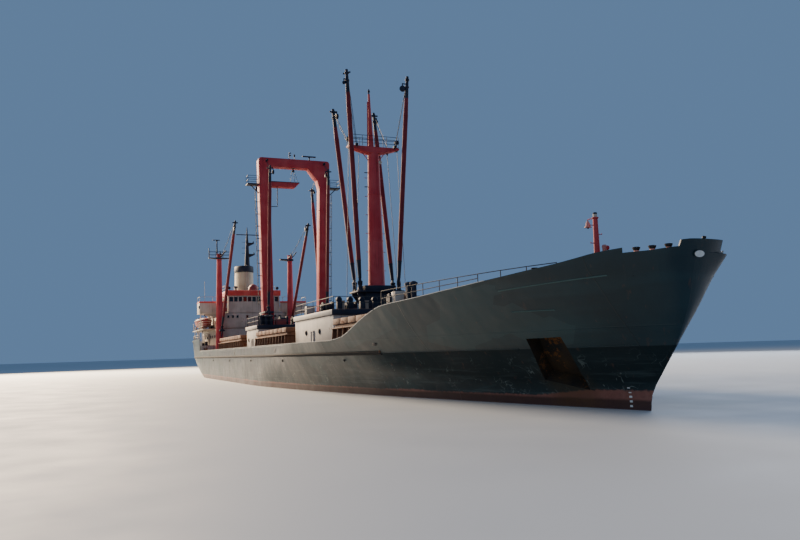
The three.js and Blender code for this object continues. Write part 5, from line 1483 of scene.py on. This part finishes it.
def make_deck_rails():
    """Guard rails and ladders of the accommodation, forecastle and poop, and the forecastle's lockers."""
    runs = []
    for s in (-1, 1):
        for deck, outline in (
            (BOAT_DECK, ((-34.1, 7.2), (-38.9, 7.2))),
            (BOAT_DECK, ((-44.4, 7.2), (-45.2, 7.2), (-47.1, 6.15), (-48.6, 5.35))),
            (BRIDGE_DECK, ((-36.6, 4.72), (-47.4, 4.72))),
            (BOAT_DECK, ((-34.1, 7.2), (-34.1, 5.5))),
        ):
            runs += guard_runs([(x, s * y, deck) for x, y in outline])
    runs += guard_runs([(-48.6, -5.3, BOAT_DECK), (-48.6, 5.3, BOAT_DECK)])
    runs += guard_runs([(-47.4, -4.7, BRIDGE_DECK), (-47.4, 4.7, BRIDGE_DECK)])
    runs += ladder_runs((-48.45, -3.2, 4.32), (-48.45, -3.2, 6.9), ACROSS, 0.5)
    runs += ladder_runs((-47.15, 3.0, 6.74), (-47.15, 3.0, 9.0), ACROSS, 0.5)
    bars("accommodation_guard_rails", runs, 0.025, WHITE)
    runs = []
    for s in (-1, 1):
        posts = []
        for x in spaced(35.3, 48.44, 9):
            y = s * (half_breadth(x, rail_top(x)) - 0.1)
            posts.append((x, y, rail_top(x), 6.14 + 0.006 * (x - 35.3)))
        runs.append([(x, y, top) for x, y, _, top in posts])
        runs.append([(x, y, max((top + rail) / 2, rail)) for x, y, rail, top in posts[:7]])
        runs += [[(x, y, rail - 0.02), (x, y, top)] for x, y, rail, top in posts]
    for y in (-2.4, 2.4):
        runs += ladder_runs((34.25, y, 2.72), (34.25, y, 5.6), ACROSS, 0.5)
    for left, right in ((-6.2, -2.8), (2.8, 6.2), (-2.0, 2.0)):
        runs += guard_runs([(34.6, left, 4.92), (34.6, right, 4.92)])
    bars("forecastle_guard_rails", runs, 0.022, RAIL_GREY)
    # Stowage at the after end of the forecastle, to starboard: two lockers, a reel and two vent pipes.
    piece = begin("forecastle_lockers", WHITE, NAVY, HATCH)
    deck = deck_height(35.5)
    box((35.0, -5.95, deck), (35.6, -5.3, 6.12), 0.03)
    box((36.0, -5.6, deck), (36.7, -5.1, 5.98), 0.03, 2)
    reel = [(0, 0.3), (0.05, 0.36), (0.1, 0.3), (0.3, 0.3), (0.35, 0.36), (0.4, 0.3)]
    turned((34.75, -6.05, 5.7), ACROSS, reel, 16, 1)
    box((34.65, -6.1, deck), (34.85, -5.6, 5.5), 0.02, 1)
    pipe = [(0, 0.2), (0.04, 0.15), (1.3, 0.15), (1.32, 0.22), (1.42, 0.22), (1.5, 0.1)]
    for x, y in ((37.7, -6.0), (38.15, -5.9)):
        turned((x, y, deck), UP, pipe, 14, 1)
    close(piece)
    runs = []
    for s in (-1, 1):
        line = [(x, s * (half_breadth(x, 5.25) - 0.1), 5.3) for x in (-36, -39, -42, -45, -48, -50)]
        runs += guard_runs(line, 0.55, (0.5, 1.0))
    bars("poop_guard_rails", runs, 0.028, WHITE)


FUNNEL_FOOT, FUNNEL_TOP = 8.95, 16.5


def funnel_ring(z, out, taper):
    """The funnel's oval at a height, grown outwards; taper is how much thinner it is for each metre up."""
    share = 1 - taper * (z - FUNNEL_FOOT)
    long, wide = 1.94 * share + out, 1.5 * share + out
    return [(-41.95 + long * math.cos(a), 0.04 + wide * math.sin(a), z) for a in spaced(0, math.tau, 36)[:-1]]


def make_funnel():
    """The funnel: casing with two bands, black cap, exhaust pipes, louvres and a door."""
    piece = begin("funnel_fine", CREAM, NAVY, IRON, WHITE)
    low = FUNNEL_FOOT
    thins = 0.1 / (FUNNEL_TOP - low)
    casing = ((low, 0.04), (low + 0.12, 0.04), (low + 0.14, 0.0), (11.0, 0.0), (13.2, 0.0), (15.55, 0.0))
    cap = ((15.5, 0.05), (15.58, 0.09), (16.35, 0.07), (16.46, 0.0), (16.5, -0.12), (16.3, -0.2))
    bands = [((z, 0.0), (z + 0.02, 0.03), (z + 0.08, 0.03), (z + 0.1, 0.0)) for z in (10.2, 12.6)]
    forms = [(casing, thins, 0), (cap, thins, 1)] + [(band, 0.0133, 0) for band in bands]
    for section, taper, finish in forms:
        lofted([funnel_ring(z, out, taper) for z, out in section], finish)
    # Place, radius and height of each exhaust pipe.
    pipes = ((-42.6, 0.0, 0.42, 0.2), (-41.7, 0.55, 0.16, 0.14), (-41.7, -0.55, 0.16, 0.1),
             (-43.3, 0.3, 0.12, 0.12))
    for x, y, wide, rise in pipes:
        pipe = [(0, wide), (0.3 + rise, wide), (0.31 + rise, wide * 0.86), (0.1 + rise, wide * 0.84)]
        turned((x, y, 16.2), UP, pipe, 20, 1)
    for s in (-1, 1):
        panel((-42.6, s * 1.42, 10.9), (0, s, 0), 0.9, 0.7, 0.12, 0.05, 0.05)
    steel_door((-43.82, 0, 9.9), (-1, 0, 0))
    close(piece, replaces=["funnel"])
    runs = ladder_runs((-43.98, 0.9, 9.0), (-43.72, 0.9, FUNNEL_TOP), ACROSS, 0.4)
    runs.append([(-39.96, 0.1, 12.1), (-40.14, 0.1, 14.8), (-40.2, 0.1, 16.6)])
    bars("funnel_ladder_and_pipe", runs, 0.03, WHITE)


def make_signal_mast():
    """The mast on the funnel: a tapered tube with two lamp brackets, a yard and three arms."""
    x, y = -41.1, 0.4
    piece = begin("signal_mast_fine", NAVY, IRON, WHITE)
    tube = [(0, 0.5), (0.05, 0.44), (0.1, 0.4), (2.6, 0.28), (3.8, 0.21), (4.9, 0.13), (5.8, 0.07),
            (6.05, 0.04)]
    turned((x, y, 16.51), UP, tube, 18)
    for z, reach in ((18.25, 1.55), (20.0, 1.45)):
        bracket = [(y + 0.1, z - 0.5), (reach, z), (reach, z + 0.1), (y + 0.05, z + 0.1)]
        slab(0, bracket, x - 0.14, x + 0.14, 0.02)
        box((x - 0.3, y + 0.1, z + 0.06), (x + 0.3, reach, z + 0.12), 0.02)
        turned((x, reach - 0.1, z + 0.12), UP, [(0, 0.08), (0.05, 0.1), (0.2, 0.1), (0.28, 0.04)], 12)
    box((x - 0.07, y - 1.7, 21.3), (x + 0.07, y + 2.0, 21.44), 0.04)
    for z in (18.5, 19.3, 20.2):
        beam((x, y - 0.8, z), (x, y, z), UP, 0.05, 0.05, 0.01)
    close(piece, replaces=["signal_mast"])


# Boats

BOAT_X, BOAT_Y, BOAT_HALF = -41.5, 6.2, 3.58
DAVIT_XS = (-43.6, -39.4)
# Half a section, as shares of its half breadth and of its height to the gunwale; GUNWALE is its row there.
BOAT_SECTION = ((0.0, 0.0), (0.35, 0.02), (0.72, 0.2), (0.93, 0.5), (1.0, 0.86), (1.0, 1.0), (0.9, 1.06),
                (0.8, 1.3), (0.5, 1.5), (0.0, 1.56))
GUNWALE = 5


def boat_ring(x, share, s):
    """A boat's section at a share of its length from the middle: keel, bilge, gunwale, then the canopy."""
    half = 1.13 * (1 - abs(share) ** 2.6) ** 0.62
    keel = 7.0 + 0.34 * abs(share) ** 3
    rim = 8.12 + 0.16 * share ** 2
    points = []
    for wide, high in BOAT_SECTION:
        z = keel + (rim - keel) * min(high, 1.0)
        if high > 1:
            z += (high - 1) * 0.75 * (1 - abs(share) ** 3)
        points.append((x, BOAT_Y * s + half * wide, z))
    return points + [(x, 2 * BOAT_Y * s - y, z) for _, y, z in reversed(points[1:-1])]


def boat_shares(steps, reach):
    """Shares of the half length, close together at the two ends."""
    return [math.sin(i / steps * math.pi / 2) * reach for i in range(-steps, steps + 1)]


def make_lifeboats():
    """The lifeboats with their strakes and windows, and the davits with cradles, blocks and falls."""
    for side, s in SIDES:
        y = BOAT_Y * s
        piece = begin(f"lifeboat_{side}_fine", ORANGE, WHITE, GLASS, IRON)
        lofted([boat_ring(BOAT_X + BOAT_HALF * share, share * 0.995, s) for share in boat_shares(24, 1.0)])
        for way in (-1, 1):
            strake = []
            for share in boat_shares(20, 0.97):
                x, rim, z = boat_ring(BOAT_X + BOAT_HALF * share, share, s)[GUNWALE]
                edge = y + way * abs(rim - y)
                section = ((-0.05, -0.07), (0.05, -0.06), (0.05, 0.03), (-0.05, 0.04))
                strake.append([(x, edge + way * out, z + high) for out, high in section])
            lofted(strake, 1)
        for x in (-43.2, -42.2, -41.2, -40.2, -39.6):
            for way in (-1, 1):
                pad(x, y + way * 0.86, 8.33, 0.16, 0.04, 0.11, 0.02, 2)
        for x in DAVIT_XS:
            turned((x, y, 8.38), UP, [(0, 0.12), (0.16, 0.1), (0.3, 0.05)], 12, 3)
        pad(BOAT_X, y, 6.96, 2.4, 0.04, 0.1, 0.015, 1)
        close(piece, replaces=[f"lifeboat_{side}"])
        gear = begin(f"davits_{side}_fine", WHITE, NAVY)
        arm = [(4.85, 6.73), (5.12, 6.73), (5.12, 8.7), (5.3, 8.96), (6.5, 9.16), (6.5, 9.36), (5.2, 9.2),
               (4.85, 8.9)]
        cradle = [(5.1, 6.74), (7.1, 6.74), (7.1, 6.9), (6.2, 6.94), (5.1, 6.9)]
        for x in DAVIT_XS:
            slab(0, mirrored(arm, s), x - 0.1, x + 0.1, 0.025)
            pad(x, s * 5.0, 6.73, 0.1, 0.12, 0.67, 0.02)
            pad(x, s * 7.0, 6.73, 0.1, 0.12, 0.57, 0.02)
            slab(0, mirrored(cradle, s), x - 0.09, x + 0.09, 0.01)
            hanging_block((x, s * 6.3, 8.95), ACROSS, 0.13, 0.16, 1)
            ring((x, y, 8.66), ALONG, 0.08, 0.025, 1, 12)
        box((DAVIT_XS[0], s * 4.87, 6.73), (DAVIT_XS[1], s * 5.09, 6.9), 0.02)
        near, far = (4.87, 5.25) if s > 0 else (-5.09, -4.75)
        box((-42.2, near, 6.9), (-41.2, far, 7.5), 0.05, 1)
        close(gear, replaces=[f"davits_{side}"])
        falls = [[(x, s * 6.3, 8.86), (x, y, 8.66)] for x in DAVIT_XS]
        falls += [[(x, s * 5.0, 9.1), (x, s * 6.3, 9.3)] for x in DAVIT_XS]
        bars(f"lifeboat_falls_{side}", falls, 0.025, WIRE)


# Propeller and rudder

PROPELLER_X, SHAFT_Z, BLADES = -47.3, -3.4, 4
RUDDER_FORE, RUDDER_LOW, STOCK_X = -48.15, -5.35, -48.9


def make_propeller():
    """The hub, and four blades that thin and turn from root to tip."""
    piece = begin("propeller_fine", BRONZE)
    hub = [(0, 0.36), (0.05, 0.38), (0.75, 0.34), (0.95, 0.24), (1.05, 0.1)]
    turned((-46.85, 0, SHAFT_Z), (-1, 0, 0), hub, 24)
    for blade in range(BLADES):
        turn = Matrix.Rotation(blade * math.tau / BLADES + 0.4, 3, "X")
        rings = []
        for share in spaced(0, 1, 12):
            radius = 0.3 + 1.34 * share
            wide = 0.24 + 0.62 * math.sin(math.pi * min(1, share * 0.92 + 0.04)) ** 0.8
            wide = max(wide * (1 - share ** 5) ** 0.5, 0.05)
            pitch = math.atan2(1.5, math.tau * radius) + 0.22
            thick = 0.12 * (1 - 0.8 * share) + 0.012
            section = []
            for angle in spaced(0, math.tau, 12)[:-1]:
                chord, lift = wide / 2 * math.cos(angle), thick / 2 * math.sin(angle)
                across = chord * math.cos(pitch) - lift * math.sin(pitch) - 0.1 * share ** 2
                ahead = chord * math.sin(pitch) + lift * math.cos(pitch)
                section.append(turn @ Vector((ahead, across, radius)) + Vector((PROPELLER_X, 0, SHAFT_Z)))
            rings.append(section)
        lofted(rings)
    close(piece, "propeller", ["propeller"], 40)


def make_rudder():
    """The blade, a rounded section from top to bottom, and its stock."""
    piece = begin("rudder_fine", ANTIFOULING, IRON)
    rings = []
    for i in range(9):
        long = 2.55 - 0.25 * (1 - i / 8)
        inset = 0.04 if i in (0, 8) else 0.0
        section = []
        for j in range(20):
            along = (1 - math.cos(math.tau * j / 20)) / 2
            thick = 0.21 * math.sqrt(max(along, 0)) * (1 - along) * 2.4
            side = 1 if j <= 10 else -1
            half = max(thick - inset, 0.004)
            section.append((RUDDER_FORE - long * along, side * half, RUDDER_LOW + 3.8 * i / 8))
        rings.append(section)
    lofted(rings)
    turned((STOCK_X, 0, -1.6), UP, [(0, 0.24), (0.1, 0.2), (0.99, 0.2)], 24, 1)
    close(piece, "rudder", ["rudder"], 40)


def make_running_rigging():
    """Wires that stay with the ship: two falls from each side of the crosstree down to the mast house."""
    runs = []
    for s in (-1, 1):
        for head, foot in (((1.25, 19.42), (1.86, 7.8)), ((2.14, 20.2), (2.62, 6.2))):
            shares = spaced(0, 1, 16)
            high, low = (Vector((MAIN_X, s * y, z)) for y, z in (head, foot))
            runs.append([tuple(high.lerp(low, share)) for share in shares])
    bars("main_mast_falls", runs, 0.02, WIRE)


make_hull()
make_rail_caps()
make_strake()
make_side_openings()
make_draught_marks()
make_bow_gear()
make_winches()
make_windlass()
make_bollards()
make_foremast()
make_hatches()
make_mast_houses()
make_main_mast()
make_portal_mast()
make_samson_posts()
make_derricks()
make_houses()
make_wings()
make_wheelhouse_fittings()
make_deck_rails()
make_funnel()
make_signal_mast()
make_lifeboats()
make_propeller()
make_rudder()
make_running_rigging()


# Floor and light

# Name, place, what it is aimed at, energy, size and tint.
LAMPS = (
    ("key", (-116, -46, 57), (0, 0, 6), 6400, 5.0, "#ffe2bf"),
    ("fill", (110, -60, 50), (10, 0, 5), 150, 9.0, "#e6eefc"),
    ("back", (-60, 120, 60), (0, 0, 8), 900, 8.0, "#eef3ff"),
)


def make_studio():
    """A matt floor, a sky of one colour and the lamps."""
    bpy.ops.object.select_all(action="DESELECT")
    bpy.ops.mesh.primitive_plane_add(size=300, location=(0, 0, 0))
    floor = bpy.context.object
    floor.name = "floor"
    floor.data.materials.append(plain("matt_studio_floor", "#bfc5c7", 0.7, 0.0, 3.0, 0.02, 0.01))
    world = bpy.data.worlds.new("studio")
    world.use_nodes = True
    world.node_tree.nodes["Background"].inputs["Color"].default_value = colour("#8db5e9")
    world.node_tree.nodes["Background"].inputs["Strength"].default_value = 0.44
    bpy.context.scene.world = world
    for name, place, aim, energy, size, tint in LAMPS:
        data = bpy.data.lights.new(name, "AREA")
        data.energy = energy
        data.size = size
        data.color = colour(tint)[:3]
        lamp = bpy.data.objects.new(name, data)
        lamp.location = put(place)
        lamp.rotation_euler = (put(aim) - put(place)).to_track_quat("-Z", "Y").to_euler()
        bpy.context.collection.objects.link(lamp)


make_studio()
